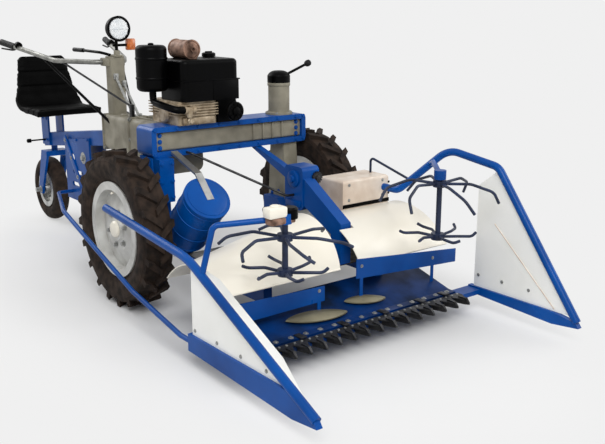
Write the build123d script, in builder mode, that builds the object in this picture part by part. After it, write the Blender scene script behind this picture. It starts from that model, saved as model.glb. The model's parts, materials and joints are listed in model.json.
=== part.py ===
from build123d import *

import os
from math import cos, radians, sin, sqrt

os.makedirs("parts", exist_ok=True)

# Reaper binder: a driven two-wheel portal frame with a cutting header in front
# and a seat over a swivelling rear wheel behind.
# Forward is -Y, the machine's left is +X, and the floor is Z = 0.
# The origin is on the floor under the middle of the driven axle.

# Fits
SEAT = 0.3  # gap between pieces fastened to each other
RUN = 0.3  # radial gap of a turning shaft in its bearing
SIDES = ((-1, "right"), (1, "left"))

# Driven wheels
TRACK = 1124
TYRE_R = 378
BEAD_W = 100
BEAD_R = 206
TYRE_W = 148
SHOULDER_W = 132
SHOULDER_R = 349
CROWN_R = 358
SIDEWALL_R = 285
FLANGE_H = 24
FLANGE_T = 8
BARREL_T = 14
LUG_COUNT = 20
LUG_DEPTH = 36
LUG_HALF = 15
LUG_SWEEP = 64
LUG_OVERHANG = 3
DISC_T = 9
DISC_DISH = 26
HUB_R = 62
HUB_OUT = 46
AXLE_R = 30
AXLE_Z = TYRE_R

# Portal frame
HUB_REACH = 172
LEG_X = TRACK / 2 - HUB_REACH
LEG_W = 90
LEG_DEPTH = 124
CASE_R = 84
AXLE_END_WALL = 15
DRIVE_BOX_W = 76
DRIVE_BOX_DEPTH = 44
DRIVE_BOX_LOW = 500
BEAM_LEFT_OVER = 92
BEAM_LEFT_END = LEG_X + BEAM_LEFT_OVER
BEAM_RIGHT_OVER = 46
BEAM_RIGHT_END = -LEG_X - BEAM_RIGHT_OVER
BEAM_LOW = 708
BEAM_HIGH = 853
BEAM_DEPTH = 116
RAIL_T = 26
RAIL_DEPTH = 152
POST_INSET = 28
POST_X = LEG_X - POST_INSET
POST_R = 56
POST_H = 166
CAP_H = 56
LEVER_D = 14
LEVER_L = 170
LEVER_LEAN = (0.84, -0.3, 0.42)

# Power unit, on a centre line to the right of the middle
UNIT_X = -190
ENGINE_W = 214
ENGINE_FRONT = -96
ENGINE_REAR = 176
ENGINE_H = 112
FIN_COUNT = 5
FIN_PITCH = 13
FIN_T = 5
FIN_OUT = 10
FIN_LOW = 896
TANK_W = 316
TANK_X = -126
TANK_H = 196
TANK_FRONT = -124
TANK_REAR = 116
TANK_ROUND = 34
SHROUD_DEPTH = 180
SHROUD_FORWARD = 24
SHROUD_FLARE = 20
SHROUD_ROUND = 18
CLEANER_Y = 40
CLEANER_R = 74
CLEANER_H = 216
CLEANER_Z = 1012
MUFFLER_R = 44
MUFFLER_L = 150
MUFFLER_Y = 20
GEARBOX_REAR = 830
GEARBOX_FRONT_W = 232
GEARBOX_FRONT_H = 250
GEARBOX_REAR_W = 150
GEARBOX_REAR_H = 190
GEARBOX_Z = 720
GEARBOX_ROUND = 30
GEARBOX_FLANGE_T = 16
GEARBOX_FLANGE_OUT = 7

# Steering column, handlebar and lamp
COLUMN_Y = 780
COLUMN_TOP = 1136
COLUMN_W = 84
BAR_D = 28
GRIP_D = 38
GRIP_L = 130
GRIP_CAP = 8
HANDLE_DROP = 32
HANDLE_RISE = 56
HANDLE_BEND = 60
HANDLE_REACH = 820
HANDLE_SPREAD = 335
ELBOW_REACH = 320
ELBOW_SPREAD = 215
STAY_D = 16
STAY_FOOT_X = 45
STAY_FOOT_Y = 640
LAMP_Y = 722
LAMP_Z = 1286
LAMP_R = 66
LAMP_RIM = 8
LAMP_GLASS_T = 12
LAMP_DEPTH = 70

# Header
FINGER_PITCH = 76.2
FINGER_COUNT = 16
FINGER_TIP_Y = -1217
FINGER_W = 34
FINGER_L = 77
FINGER_TIP_W = 8
NOSE_L = 19
NOSE_W = 14
NOSE_RISE = 3
LIP_T = 5
LIP_L = 44
BAR_Z = 84
BAR_T = 22
BAR_DEPTH = 84
KNIFE_T = 5
KNIFE_DEPTH = 28
KNIFE_LIFT = 0.5
BLADE_L = 54
BLADE_GAP = 4.2
BLADE_TIP_W = 12
DECK_T = 8
DECK_LIP = 42
DECK_REAR = -800
DECK_RISE = 70
CROSSBAR_DEPTH = 40
CROSSBAR_LOW = 96
ARM_W = 44
ARM_H = 70
ARM_LOW = 180
TABLE_T = 5
TABLE_FRONT = -795
TABLE_REAR = -200
SHEET_T = 4
COVER_FRONT = -598
COVER_REAR = -420
COVER_W = 300
COVER_INNER = LEG_X - LEG_W
COVER_OUTER = COVER_INNER + COVER_W
COVER_TOP = 590
COVER_ROUND = 16
KNOTTER_Y = -450
KNOTTER_W = 100
KNOTTER_GAP = 85
KNOTTER_X = COVER_INNER - KNOTTER_GAP - KNOTTER_W / 2
KNOTTER_DEPTH = 140
KNOTTER_LOW = 456
KNOTTER_H = 210
KNOTTER_ROUND = 24
KNOTTER_ARM_SHIFT = 15
KNOTTER_ARM_X = KNOTTER_X - KNOTTER_ARM_SHIFT
KNOTTER_ARM_W = 60
KNOTTER_ARM_H = 130
ARM_LEG_W = 70
ARM_ELBOW_Z = 446
BRACE_X = KNOTTER_X + KNOTTER_ARM_SHIFT
BRACE_W = 36
BRACE_H = 54
ROD_D = 12
ROD_GAP = 80
ROD_END = 40

# Guide strips that stand across the deck
GUIDE_Y = -970
GUIDE_FOOT_W = 18

# Hoods: front edge and crowns in (y, z), side edges by their gaps to the dividers and the arm
HOOD_FRONT = (-950, 300)
RIGHT_HOOD_GAP = 116
RIGHT_HOOD_INNER = -15
RIGHT_HOOD_CROWNS = ((-770, 368), (-800, 482))
RIGHT_HOOD_REAR_Y = -470
LEFT_HOOD_GAP = 61
LEFT_HOOD_LAP = 50
LEFT_HOOD_CROWNS = ((-800, 430), (-800, 418))
LEFT_HOOD_REAR_Z = 446
NOTCH_CLEAR = 6
NOTCH_Y = -810

# Dividers
SHOE_REACH = 106.4
TYRE_CLEAR = 50
TIP_Y = -1658
TIP_Z = 93
TUBE_D = 36
SKID_T = 26
RAIL_D = 22
LOOP_D = 12
LOOP_TOP = 668
LOOP_INSET = 40
LEFT_TUBE_INSET = 30

# Star wheels
STAR_X = 420
STAR_ARMS = 6
WIRE_D = 13
STAR_REACH = 262
LOW_STAR_REACH = 168
LOW_STAR_RISE = 20
STAR_HUB_R = 30
STAR_HUB_H = 28
STAR_SHAFT_R = 12
BOSS_R = 27
BOSS_H = 40
BOSS_BITE = 20
BRACKET_D = 24

# Twine can, leaning forward, and its strap
CAN_INSET = 232
CAN_X = CAN_INSET - TRACK / 2
CAN_FOOT_Y = -175
CAN_FOOT_Z = 350
CAN_R = 112
CAN_L = 297
CAN_LID = 12
CAN_LIP = 4
CAN_LEAN = 45
STRAP_W = 36
STRAP_T = 6

# Rear carriage
SWIVEL_Y = 1750
SWIVEL_R = 20
SWIVEL_L = 90
REAR_Y = 1850
REAR_R = 212
REAR_W = 98
REAR_BEAD_R = 104
REAR_HUB_W = 104
REAR_AXLE_R = 10
DRAWBAR_W = 84
DRAWBAR_H = 86
DRAWBAR_FRONT_LOW = 634
DRAWBAR_REAR_LOW = 510
DRAWBAR_REAR = 1806
FORK_GAP = 118
FORK_T = 16
CROWN_H = 34
CROWN_DEPTH = 84
FORK_CROWN_LOW = 452
POST_BAR_W = 110
POST_BAR_T = 12
HITCH_L = 360
HITCH_GAP = 310
HITCH_REAR = SWIVEL_Y - HITCH_GAP
HITCH_FRONT = HITCH_REAR - HITCH_L
HITCH_LOW = 230
HITCH_TAPER = 60
HITCH_R = 12.5
HITCH_HOLE_R = 28
HITCH_SLOT_L = 150
HITCH_SLOT_W = 26
KNOB_R = 13
KNOB_Z = 560
KNOB_ROD_R = 5
KNOB_ROD_L = 100
SEAT_W = 430
SEAT_BACK_W = 330
SEAT_LOW = 744
SEAT_T = 34
SEAT_FRONT = 1446
SEAT_DEPTH = 396
SEAT_BACK_TOP = 1104


def save(piece, name):
    """Label one finished piece and write it."""
    piece.part.label = name
    export_step(piece.part, f"parts/{name}.step")


def bent_tube(points, diameter, bend):
    """Round bar along straight runs joined by arcs of one radius."""
    with BuildPart() as tube:
        with BuildLine() as path:
            FilletPolyline(*points, radius=bend)
        with BuildSketch(Plane(origin=path.line @ 0, z_dir=path.line % 0)):
            Circle(diameter / 2)
        sweep()
    return tube


def straight_bar(start, end, diameter):
    """Round bar between two points."""
    run = Vector(end) - Vector(start)
    with BuildPart() as bar:
        with BuildSketch(Plane(origin=start, z_dir=run)):
            Circle(diameter / 2)
        extrude(amount=run.length)
    return bar


def flat_sheet(corners, thickness):
    """Flat sheet with its corners in one plane, thickened along the normal of the first three."""
    origin = Vector(corners[0])
    along = Vector(corners[1]) - origin
    across = Vector(corners[2]) - origin
    plane = Plane(origin=origin, x_dir=along, z_dir=along.cross(across))
    flat = [plane.to_local_coords(Vector(corner)) for corner in corners]
    with BuildPart() as sheet:
        with BuildSketch(plane):
            with BuildLine():
                Polyline(*[(point.X, point.Y) for point in flat], close=True)
            make_face()
        extrude(amount=thickness)
    return sheet


def between(start, end, share):
    """Point part of the way along a straight run."""
    return tuple(a + (b - a) * share for a, b in zip(start, end))


def upright(x, z):
    """Plane facing forward with its origin on the middle plane of the axle."""
    return Plane(origin=(x, 0, z), x_dir=(1, 0, 0), z_dir=(0, -1, 0))


def side_profile(points, x, width):
    """Slab of one width centred on x, from its outline in (y, z)."""
    with BuildPart() as slab:
        with BuildSketch(Plane.YZ.offset(x)):
            with BuildLine():
                Polyline(*points, close=True)
            make_face()
        extrude(amount=width / 2, both=True)
    return slab


# Driven wheels
def drive_tyre(side):
    """Tyre with cleated tread, its cleats sweeping back from the middle to the shoulders."""
    middle = side * TRACK / 2
    half_bead = BEAD_W / 2
    half_wall = TYRE_W / 2
    half_shoulder = SHOULDER_W / 2
    lug_end = half_shoulder + LUG_OVERHANG
    half_sweep = LUG_SWEEP / 2
    lug_face = sqrt(TYRE_R**2 - (half_sweep + LUG_HALF) ** 2)
    with BuildPart() as tyre:
        with BuildSketch(upright(middle, AXLE_Z)):
            with BuildLine():
                Polyline(
                    (-half_bead, BEAD_R + FLANGE_H + 2),
                    (-half_bead, BEAD_R),
                    (half_bead, BEAD_R),
                    (half_bead, BEAD_R + FLANGE_H + 2),
                )
                ThreePointArc(
                    (half_bead, BEAD_R + FLANGE_H + 2),
                    (half_wall, SIDEWALL_R),
                    (half_shoulder, SHOULDER_R),
                )
                ThreePointArc((half_shoulder, SHOULDER_R), (0, CROWN_R), (-half_shoulder, SHOULDER_R))
                ThreePointArc(
                    (-half_shoulder, SHOULDER_R),
                    (-half_wall, SIDEWALL_R),
                    (-half_bead, BEAD_R + FLANGE_H + 2),
                )
            make_face()
        revolve(axis=Axis((middle, 0, AXLE_Z), (1, 0, 0)))
        for lug in range(2 * LUG_COUNT):
            hand = 1 if lug % 2 else -1
            turn = radians(lug * 180 / LUG_COUNT)
            radial = Vector(0, cos(turn), sin(turn))
            top = Vector(middle, 0, AXLE_Z) + radial * lug_face
            with BuildSketch(Plane(origin=top, x_dir=(1, 0, 0), z_dir=radial)):
                with BuildLine():
                    Polyline(
                        (-hand * LUG_HALF / 2, -half_sweep - LUG_HALF),
                        (-hand * LUG_HALF / 2, -half_sweep + LUG_HALF),
                        (hand * half_shoulder * 0.6, half_sweep / 2 + LUG_HALF),
                        (hand * lug_end, half_sweep + LUG_HALF),
                        (hand * lug_end, half_sweep - LUG_HALF),
                        (hand * half_shoulder * 0.6, half_sweep / 4 - LUG_HALF),
                        close=True,
                    )
                make_face()
        extrude(amount=-LUG_DEPTH)
    return tyre


def drive_rim(side):
    """Rim with a dished disc, its hub and the half axle that runs in the leg."""
    middle = side * TRACK / 2
    edge = BEAD_W / 2 + 2
    barrel = BEAD_R - SEAT
    axle_in = LEG_X - LEG_W / 2 + AXLE_END_WALL + RUN - TRACK / 2
    with BuildPart() as rim:
        with BuildSketch(upright(middle, AXLE_Z)):
            with BuildLine():
                Polyline(
                    (-edge - FLANGE_T, barrel - BARREL_T),
                    (-edge - FLANGE_T, BEAD_R + FLANGE_H),
                    (-edge, BEAD_R + FLANGE_H),
                    (-edge, barrel),
                    (edge, barrel),
                    (edge, BEAD_R + FLANGE_H),
                    (edge + FLANGE_T, BEAD_R + FLANGE_H),
                    (edge + FLANGE_T, barrel - BARREL_T),
                    close=True,
                )
            make_face()
            with BuildLine():
                Polyline(
                    (0, barrel - BARREL_T / 2),
                    (side * DISC_T, barrel - BARREL_T / 2),
                    (side * (DISC_T + DISC_DISH), HUB_R * 1.7),
                    (side * (DISC_T + DISC_DISH), HUB_R),
                    (side * HUB_OUT, HUB_R * 0.86),
                    (side * HUB_OUT, 0),
                    (side * axle_in, 0),
                    (side * axle_in, AXLE_R),
                    (side * DISC_DISH * -1.6, AXLE_R),
                    (side * DISC_DISH * -1.2, HUB_R),
                    (side * DISC_DISH, HUB_R),
                    (side * DISC_DISH, HUB_R * 1.7),
                    close=True,
                )
            make_face()
        revolve(axis=Axis((middle, 0, AXLE_Z), (1, 0, 0)))
    return rim


for side, name in SIDES:
    save(drive_tyre(side), f"tyre_{name}")
    save(drive_rim(side), f"rim_{name}")


# Portal frame
def leg_outline(gap):
    """Side outline of a leg: a round foot about the axle drawn up to the beam."""
    with Locations((0, AXLE_Z)):
        Circle(CASE_R + gap)
    with Locations((0, BEAM_LOW - SEAT)):
        Rectangle(LEG_DEPTH + 2 * gap, CASE_R, align=(Align.CENTER, Align.MAX))
    make_hull()


def leg(side):
    """Drive casing that hangs from the beam and carries the half axle at its foot."""
    outer = side * (LEG_X + LEG_W / 2)
    inward = Plane(origin=(outer, 0, 0), x_dir=(0, -side, 0), z_dir=(-side, 0, 0))
    with BuildPart() as casing:
        with BuildSketch(inward):
            leg_outline(0)
        extrude(amount=LEG_W)
        with BuildSketch(inward):
            with Locations((0, AXLE_Z)):
                Circle(AXLE_R + RUN)
        extrude(amount=LEG_W - AXLE_END_WALL, mode=Mode.SUBTRACT)
        casing_rims = casing.edges().filter_by(GeomType.CIRCLE).sort_by(SortBy.RADIUS)[-2:]
        fillet(casing_rims, radius=10)
    return casing


for side, name in SIDES:
    save(leg(side), f"leg_{name}")

beam_length = BEAM_LEFT_END - BEAM_RIGHT_END
beam_middle = (BEAM_LEFT_END + BEAM_RIGHT_END) / 2
with BuildPart() as beam_housing:
    with Locations((beam_middle, 0, BEAM_LOW + RAIL_T)):
        Box(
            beam_length - 2 * RAIL_T,
            BEAM_DEPTH,
            BEAM_HIGH - BEAM_LOW - 2 * RAIL_T,
            align=(Align.CENTER, Align.CENTER, Align.MIN),
        )
    fillet(beam_housing.edges().filter_by(Axis.X), radius=12)
save(beam_housing, "beam_housing")

with BuildPart() as beam_rails:
    with BuildSketch(Plane.XZ) as rail_frame:
        with Locations((beam_middle, (BEAM_LOW + BEAM_HIGH) / 2)):
            RectangleRounded(beam_length, BEAM_HIGH - BEAM_LOW, RAIL_T)
            Rectangle(beam_length - 2 * RAIL_T, BEAM_HIGH - BEAM_LOW - 2 * RAIL_T, mode=Mode.SUBTRACT)
    extrude(amount=RAIL_DEPTH / 2, both=True)
save(beam_rails, "beam_rails")

with BuildPart() as drive_box:
    with Locations((-LEG_X, 0, DRIVE_BOX_LOW)):
        Box(
            DRIVE_BOX_W,
            CASE_R + DRIVE_BOX_DEPTH,
            BEAM_LOW - SEAT - DRIVE_BOX_LOW,
            align=(Align.CENTER, Align.MAX, Align.MIN),
        )
    with BuildSketch(Plane.YZ.offset(-LEG_X)):
        leg_outline(SEAT)
    extrude(amount=DRIVE_BOX_W, both=True, mode=Mode.SUBTRACT)
save(drive_box, "drive_box")

with BuildPart() as control_post:
    with Locations((POST_X, 0, BEAM_HIGH)):
        Cylinder(POST_R, POST_H, align=(Align.CENTER, Align.CENTER, Align.MIN))
save(control_post, "control_post")

cap_low = BEAM_HIGH + POST_H
with BuildPart() as post_cap:
    with BuildSketch(upright(POST_X, cap_low)):
        with BuildLine():
            Polyline((0, 0), (POST_R + 4, 0), (POST_R + 4, CAP_H * 0.6))
            ThreePointArc((POST_R + 4, CAP_H * 0.6), (POST_R * 0.8, CAP_H * 0.92), (0, CAP_H))
            Line((0, CAP_H), (0, 0))
        make_face()
    revolve(axis=Axis((POST_X, 0, 0), (0, 0, 1)))
    with BuildSketch(Plane(origin=(POST_X, 0, cap_low + CAP_H / 3), z_dir=LEVER_LEAN)):
        Circle(LEVER_D / 2)
    extrude(amount=LEVER_L)
save(post_cap, "post_cap")

# Power unit: the block carries cooling fins on the three sides clear of the fan shroud
engine_middle = (ENGINE_FRONT + ENGINE_REAR) / 2
fin_levels = [FIN_LOW + index * FIN_PITCH for index in range(FIN_COUNT)]
with BuildPart() as engine_block:
    with Locations((UNIT_X, engine_middle, BEAM_HIGH)):
        Box(
            ENGINE_W,
            ENGINE_REAR - ENGINE_FRONT,
            ENGINE_H,
            align=(Align.CENTER, Align.CENTER, Align.MIN),
        )
    fillet(engine_block.edges().filter_by(Axis.Z), radius=18)
    with Locations(*[(UNIT_X + ENGINE_W / 2, engine_middle, level) for level in fin_levels]):
        Box(
            ENGINE_W + FIN_OUT,
            ENGINE_REAR - ENGINE_FRONT + 2 * FIN_OUT,
            FIN_T,
            align=(Align.MAX, Align.CENTER, Align.MIN),
        )
save(engine_block, "engine_block")

tank_low = BEAM_HIGH + ENGINE_H
with BuildPart() as fuel_tank:
    with Locations((TANK_X, (TANK_FRONT + TANK_REAR) / 2, tank_low)):
        Box(TANK_W, TANK_REAR - TANK_FRONT, TANK_H, align=(Align.CENTER, Align.CENTER, Align.MIN))
    fillet(fuel_tank.edges().filter_by(Axis.Z), radius=TANK_ROUND)
    fillet(fuel_tank.faces().sort_by(Axis.Z)[-1].edges(), radius=TANK_ROUND * 0.6)
save(fuel_tank, "fuel_tank")

with BuildPart() as fan_shroud:
    with BuildSketch(Plane.XZ.offset(-TANK_FRONT - SHROUD_FORWARD)):
        with BuildLine():
            Polyline(
                (UNIT_X + ENGINE_W / 2 + SEAT, BEAM_HIGH),
                (TANK_X + TANK_W / 2 + SHROUD_FLARE, BEAM_HIGH),
                (TANK_X + TANK_W / 2, tank_low - SEAT),
                (UNIT_X + ENGINE_W / 2 + SEAT, tank_low - SEAT),
                close=True,
            )
        make_face()
    extrude(amount=-SHROUD_DEPTH)
    fillet(fan_shroud.faces().sort_by(Axis.X)[-1].edges(), radius=SHROUD_ROUND)
save(fan_shroud, "fan_shroud")

cleaner_x = TANK_X - TANK_W / 2 - CLEANER_R - SEAT
with BuildPart() as air_cleaner:
    with Locations((cleaner_x, CLEANER_Y, CLEANER_Z)):
        Cylinder(CLEANER_R, CLEANER_H, align=(Align.CENTER, Align.CENTER, Align.MIN))
    fillet(air_cleaner.edges().filter_by(GeomType.CIRCLE), radius=22)
save(air_cleaner, "air_cleaner")

with BuildPart() as muffler:
    with Locations((UNIT_X, MUFFLER_Y, tank_low + TANK_H + MUFFLER_R + SEAT)):
        Cylinder(MUFFLER_R, MUFFLER_L, rotation=(90, 0, 0))
    fillet(muffler.edges().filter_by(GeomType.CIRCLE), radius=12)
save(muffler, "muffler")

with BuildPart() as gearbox:
    with BuildSketch(Plane.XZ.offset(-RAIL_DEPTH / 2 - SEAT)):
        with Locations((UNIT_X, GEARBOX_Z)):
            RectangleRounded(GEARBOX_FRONT_W, GEARBOX_FRONT_H, GEARBOX_ROUND)
    with BuildSketch(Plane.XZ.offset(-GEARBOX_REAR)):
        with Locations((UNIT_X, GEARBOX_Z)):
            RectangleRounded(GEARBOX_REAR_W, GEARBOX_REAR_H, GEARBOX_ROUND)
    loft()
    with BuildSketch(Plane.XZ.offset(-RAIL_DEPTH / 2 - SEAT)):
        with Locations((UNIT_X, GEARBOX_Z)):
            RectangleRounded(
                GEARBOX_FRONT_W + 2 * GEARBOX_FLANGE_OUT,
                GEARBOX_FRONT_H + 2 * GEARBOX_FLANGE_OUT,
                GEARBOX_ROUND + GEARBOX_FLANGE_OUT,
            )
    extrude(amount=-GEARBOX_FLANGE_T)
save(gearbox, "gearbox")

with BuildPart() as steering_column:
    with BuildSketch(Plane.XY.offset(GEARBOX_Z)):
        with Locations((UNIT_X, COLUMN_Y)):
            RectangleRounded(COLUMN_W, COLUMN_W, 16)
    extrude(amount=COLUMN_TOP - GEARBOX_Z)
    add(gearbox.part, mode=Mode.SUBTRACT)
save(steering_column, "steering_column")

bar_y = COLUMN_Y + COLUMN_W / 2 + BAR_D / 2 + SEAT
bar_z = COLUMN_TOP - HANDLE_DROP
right_end = (UNIT_X - HANDLE_SPREAD, COLUMN_Y + HANDLE_REACH, COLUMN_TOP + HANDLE_RISE)
right_elbow = (UNIT_X - ELBOW_SPREAD, COLUMN_Y + ELBOW_REACH, bar_z)
left_end = (UNIT_X + HANDLE_SPREAD, *right_end[1:])
left_elbow = (UNIT_X + ELBOW_SPREAD, *right_elbow[1:])
handle_path = (
    right_end,
    right_elbow,
    (UNIT_X - COLUMN_W, bar_y, bar_z),
    (UNIT_X + COLUMN_W, bar_y, bar_z),
    left_elbow,
    left_end,
)
save(bent_tube(handle_path, BAR_D, HANDLE_BEND), "handlebar")

with BuildPart() as handle_stays:
    for side, end, elbow in ((-1, right_end, right_elbow), (1, left_end, left_elbow)):
        stay_foot = (UNIT_X + side * STAY_FOOT_X, STAY_FOOT_Y, GEARBOX_Z)
        stay_head = Vector(elbow) + (Vector(end) - Vector(elbow)) / 4
        add(straight_bar(stay_foot, stay_head, STAY_D).part)
    add(gearbox.part, mode=Mode.SUBTRACT)
    add(bent_tube(handle_path, BAR_D + 2 * SEAT, HANDLE_BEND).part, mode=Mode.SUBTRACT)
save(handle_stays, "handle_stays")

with BuildPart() as grips:
    for end, elbow in ((right_end, right_elbow), (left_end, left_elbow)):
        outward = (Vector(end) - Vector(elbow)).normalized()
        grip_plane = Plane(origin=Vector(end) - outward * GRIP_L, z_dir=outward)
        with BuildSketch(grip_plane):
            Circle(GRIP_D / 2)
        extrude(amount=GRIP_L + GRIP_CAP)
        with BuildSketch(grip_plane):
            Circle(BAR_D / 2 + SEAT)
        extrude(amount=GRIP_L + SEAT, mode=Mode.SUBTRACT)
save(grips, "grips")

stalk_y = COLUMN_Y - BAR_D
with BuildPart() as headlamp_shell:
    with BuildSketch(Plane(origin=(UNIT_X, LAMP_Y, LAMP_Z), x_dir=(0, 1, 0), z_dir=(1, 0, 0))):
        with BuildLine():
            Polyline(
                (0, 0),
                (0, LAMP_R - LAMP_RIM),
                (-LAMP_RIM, LAMP_R - LAMP_RIM),
                (-LAMP_RIM, LAMP_R),
                (LAMP_RIM, LAMP_R),
            )
            ThreePointArc((LAMP_RIM, LAMP_R), (LAMP_DEPTH * 0.75, LAMP_R * 0.7), (LAMP_DEPTH, 0))
            Line((LAMP_DEPTH, 0), (0, 0))
        make_face()
    revolve(axis=Axis((UNIT_X, 0, LAMP_Z), (0, 1, 0)))
    with BuildSketch(Plane.XY.offset(COLUMN_TOP)):
        with Locations((UNIT_X, stalk_y)):
            Circle(9)
    extrude(amount=LAMP_Z - COLUMN_TOP - LAMP_R / 2)
save(headlamp_shell, "headlamp_shell")

with BuildPart() as headlamp_glass:
    with BuildSketch(Plane(origin=(UNIT_X, LAMP_Y - SEAT, LAMP_Z), x_dir=(1, 0, 0), z_dir=(0, -1, 0))):
        Circle(LAMP_R - LAMP_RIM - SEAT)
    extrude(amount=LAMP_GLASS_T)
    fillet(headlamp_glass.edges().sort_by(Axis.Y)[0], radius=LAMP_GLASS_T - 3)
save(headlamp_glass, "headlamp_glass")

# Cutter bar: the bar, its fingers and the knife that slides on them
bar_front = FINGER_TIP_Y + FINGER_L
bar_top = BAR_Z + BAR_T
bar_length = FINGER_COUNT * FINGER_PITCH
bar_x = -FINGER_PITCH / 2
# The dividers stand outside both the bar's shoes and the tyres
tip_x = max(bar_length / 2 + SHOE_REACH, TRACK / 2 + TYRE_W / 2 + TYRE_CLEAR)
with BuildPart() as finger_bar:
    with Locations((bar_x, bar_front, BAR_Z)):
        Box(bar_length, BAR_DEPTH, BAR_T, align=(Align.CENTER, Align.MIN, Align.MIN))
save(finger_bar, "finger_bar")

finger_spots = [bar_x + (index - (FINGER_COUNT - 1) / 2) * FINGER_PITCH for index in range(FINGER_COUNT)]
nose_rear = FINGER_TIP_Y + NOSE_L
nose_low = BAR_Z + NOSE_RISE
tip_low = nose_low + NOSE_RISE
lip_low = bar_top + KNIFE_T + 2 * KNIFE_LIFT
# Tapered lengths of a finger, each from its rear to its front: y, width, low, top
finger_lengths = (
    ((bar_front - SEAT, FINGER_W, BAR_Z, bar_top), (nose_rear, NOSE_W, nose_low, bar_top)),
    ((nose_rear, NOSE_W, nose_low, lip_low + LIP_T), (FINGER_TIP_Y, FINGER_TIP_W, tip_low, tip_low + FINGER_TIP_W)),
)
with BuildPart() as fingers:
    for x in finger_spots:
        for length in finger_lengths:
            for y, width, low, top in length:
                with BuildSketch(Plane(origin=(x, y, low), x_dir=(1, 0, 0), z_dir=(0, -1, 0))):
                    Rectangle(width, top - low, align=(Align.CENTER, Align.MIN))
            loft()
        with Locations((x, nose_rear, lip_low)):
            Box(NOSE_W, LIP_L, LIP_T, align=(Align.CENTER, Align.MIN, Align.MIN))
save(fingers, "fingers")

blade_half = (FINGER_PITCH - BLADE_GAP) / 2
blade_points = (
    (-blade_half, 0),
    (-BLADE_TIP_W / 2, -BLADE_L),
    (BLADE_TIP_W / 2, -BLADE_L),
    (blade_half, 0),
)
with BuildPart() as knife:
    with BuildSketch(Plane.XY.offset(bar_top + KNIFE_LIFT)):
        with Locations((bar_x, bar_front)):
            Rectangle(bar_length - BLADE_GAP, KNIFE_DEPTH, align=(Align.CENTER, Align.MIN))
        with Locations(*[(x, bar_front) for x in finger_spots]):
            Polygon(*blade_points, align=None)
    extrude(amount=KNIFE_T)
save(knife, "knife")

# Deck behind the bar, with the crossbar and the arms that carry the header
deck_front = bar_front + DECK_LIP
bar_rear = bar_front + BAR_DEPTH
deck_low = bar_top + DECK_RISE


def deck_top(y):
    """Height of the sloping deck's upper face."""
    return bar_top + DECK_T + DECK_RISE * (y - bar_rear) / (DECK_REAR - bar_rear)


deck_points = (
    (deck_front, bar_top),
    (bar_rear, bar_top),
    (DECK_REAR, deck_low),
    (DECK_REAR, deck_low + DECK_T),
    (bar_rear, bar_top + DECK_T),
    (deck_front, bar_top + DECK_T),
)
deck = side_profile(deck_points, bar_x, bar_length)
save(deck, "deck")

crossbar_front = DECK_REAR - CROSSBAR_DEPTH
crossbar_points = (
    (crossbar_front, deck_top(crossbar_front) - DECK_T),
    (DECK_REAR, deck_low),
    (DECK_REAR, CROSSBAR_LOW),
    (crossbar_front, CROSSBAR_LOW),
)
save(side_profile(crossbar_points, bar_x, bar_length), "header_crossbar")

arm_high = ARM_LOW + ARM_H
arm_x = LEG_X - LEG_W / 2 - ARM_W / 2
arm_points = (
    (LEG_DEPTH / 2, AXLE_Z - ARM_H / 2),
    (LEG_DEPTH / 2, AXLE_Z + ARM_H / 2),
    (-LEG_DEPTH / 2, AXLE_Z + ARM_H / 2),
    (TABLE_REAR + SEAT, arm_high),
    (crossbar_front, arm_high),
    (crossbar_front, deck_top(crossbar_front) + SEAT),
    (DECK_REAR, deck_low + DECK_T + SEAT),
    (DECK_REAR, ARM_LOW),
    (TABLE_REAR - ARM_H / 2, ARM_LOW),
    (-CASE_R, AXLE_Z - ARM_H / 2),
)
with BuildPart() as header_arms:
    for side, name in SIDES:
        add(side_profile(arm_points, side * arm_x, ARM_W).part)
save(header_arms, "header_arms")

with BuildPart() as binding_table:
    with Locations((0, TABLE_FRONT, arm_high)):
        Box(
            2 * (LEG_X - LEG_W / 2),
            TABLE_REAR - TABLE_FRONT,
            TABLE_T,
            align=(Align.CENTER, Align.MIN, Align.MIN),
        )
save(binding_table, "binding_table")
table_top = arm_high + TABLE_T


with BuildPart() as drive_cover:
    with Locations((COVER_INNER, COVER_FRONT, table_top)):
        Box(
            COVER_OUTER - COVER_INNER,
            COVER_REAR - COVER_FRONT,
            COVER_TOP - table_top,
            align=(Align.MIN, Align.MIN, Align.MIN),
        )
    fillet(drive_cover.faces().sort_by(Axis.Z)[-1].edges(), radius=COVER_ROUND)
    offset(amount=-SHEET_T, openings=drive_cover.faces().sort_by(Axis.Z)[0])
save(drive_cover, "drive_cover")


def hood(sides, crowns, rear, carrier):
    """Sheet arched from side to side over two crowns, trimmed to the piece its rear edge meets."""
    with BuildPart() as sheet:
        for x, crown in zip(sides, crowns):
            with BuildSketch(Plane.YZ.offset(x)):
                with BuildLine():
                    ThreePointArc(HOOD_FRONT, crown, rear)
                trace(line_width=SHEET_T)
        loft()
        add(carrier.part, mode=Mode.SUBTRACT)
    return sheet


right_hood_rear = (RIGHT_HOOD_REAR_Y, table_top - SHEET_T / 2)
right_hood_sides = (RIGHT_HOOD_GAP - tip_x, RIGHT_HOOD_INNER)
hood_right = hood(right_hood_sides, RIGHT_HOOD_CROWNS, right_hood_rear, binding_table)
save(hood_right, "hood_right")

left_hood_rear = (COVER_FRONT + SHEET_T / 2, LEFT_HOOD_REAR_Z)
left_hood_sides = (KNOTTER_ARM_X - LEFT_HOOD_LAP, tip_x - LEFT_HOOD_GAP)
notch_x = KNOTTER_ARM_X + KNOTTER_ARM_W / 2 + NOTCH_CLEAR
with BuildPart() as hood_left:
    add(hood(left_hood_sides, LEFT_HOOD_CROWNS, left_hood_rear, drive_cover).part)
    with Locations((notch_x, NOTCH_Y, table_top)):
        Box(
            notch_x - left_hood_sides[0] + SHEET_T,
            COVER_REAR - NOTCH_Y,
            COVER_TOP,
            align=(Align.MAX, Align.MIN, Align.MIN),
            mode=Mode.SUBTRACT,
        )
save(hood_left, "hood_left")

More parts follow.
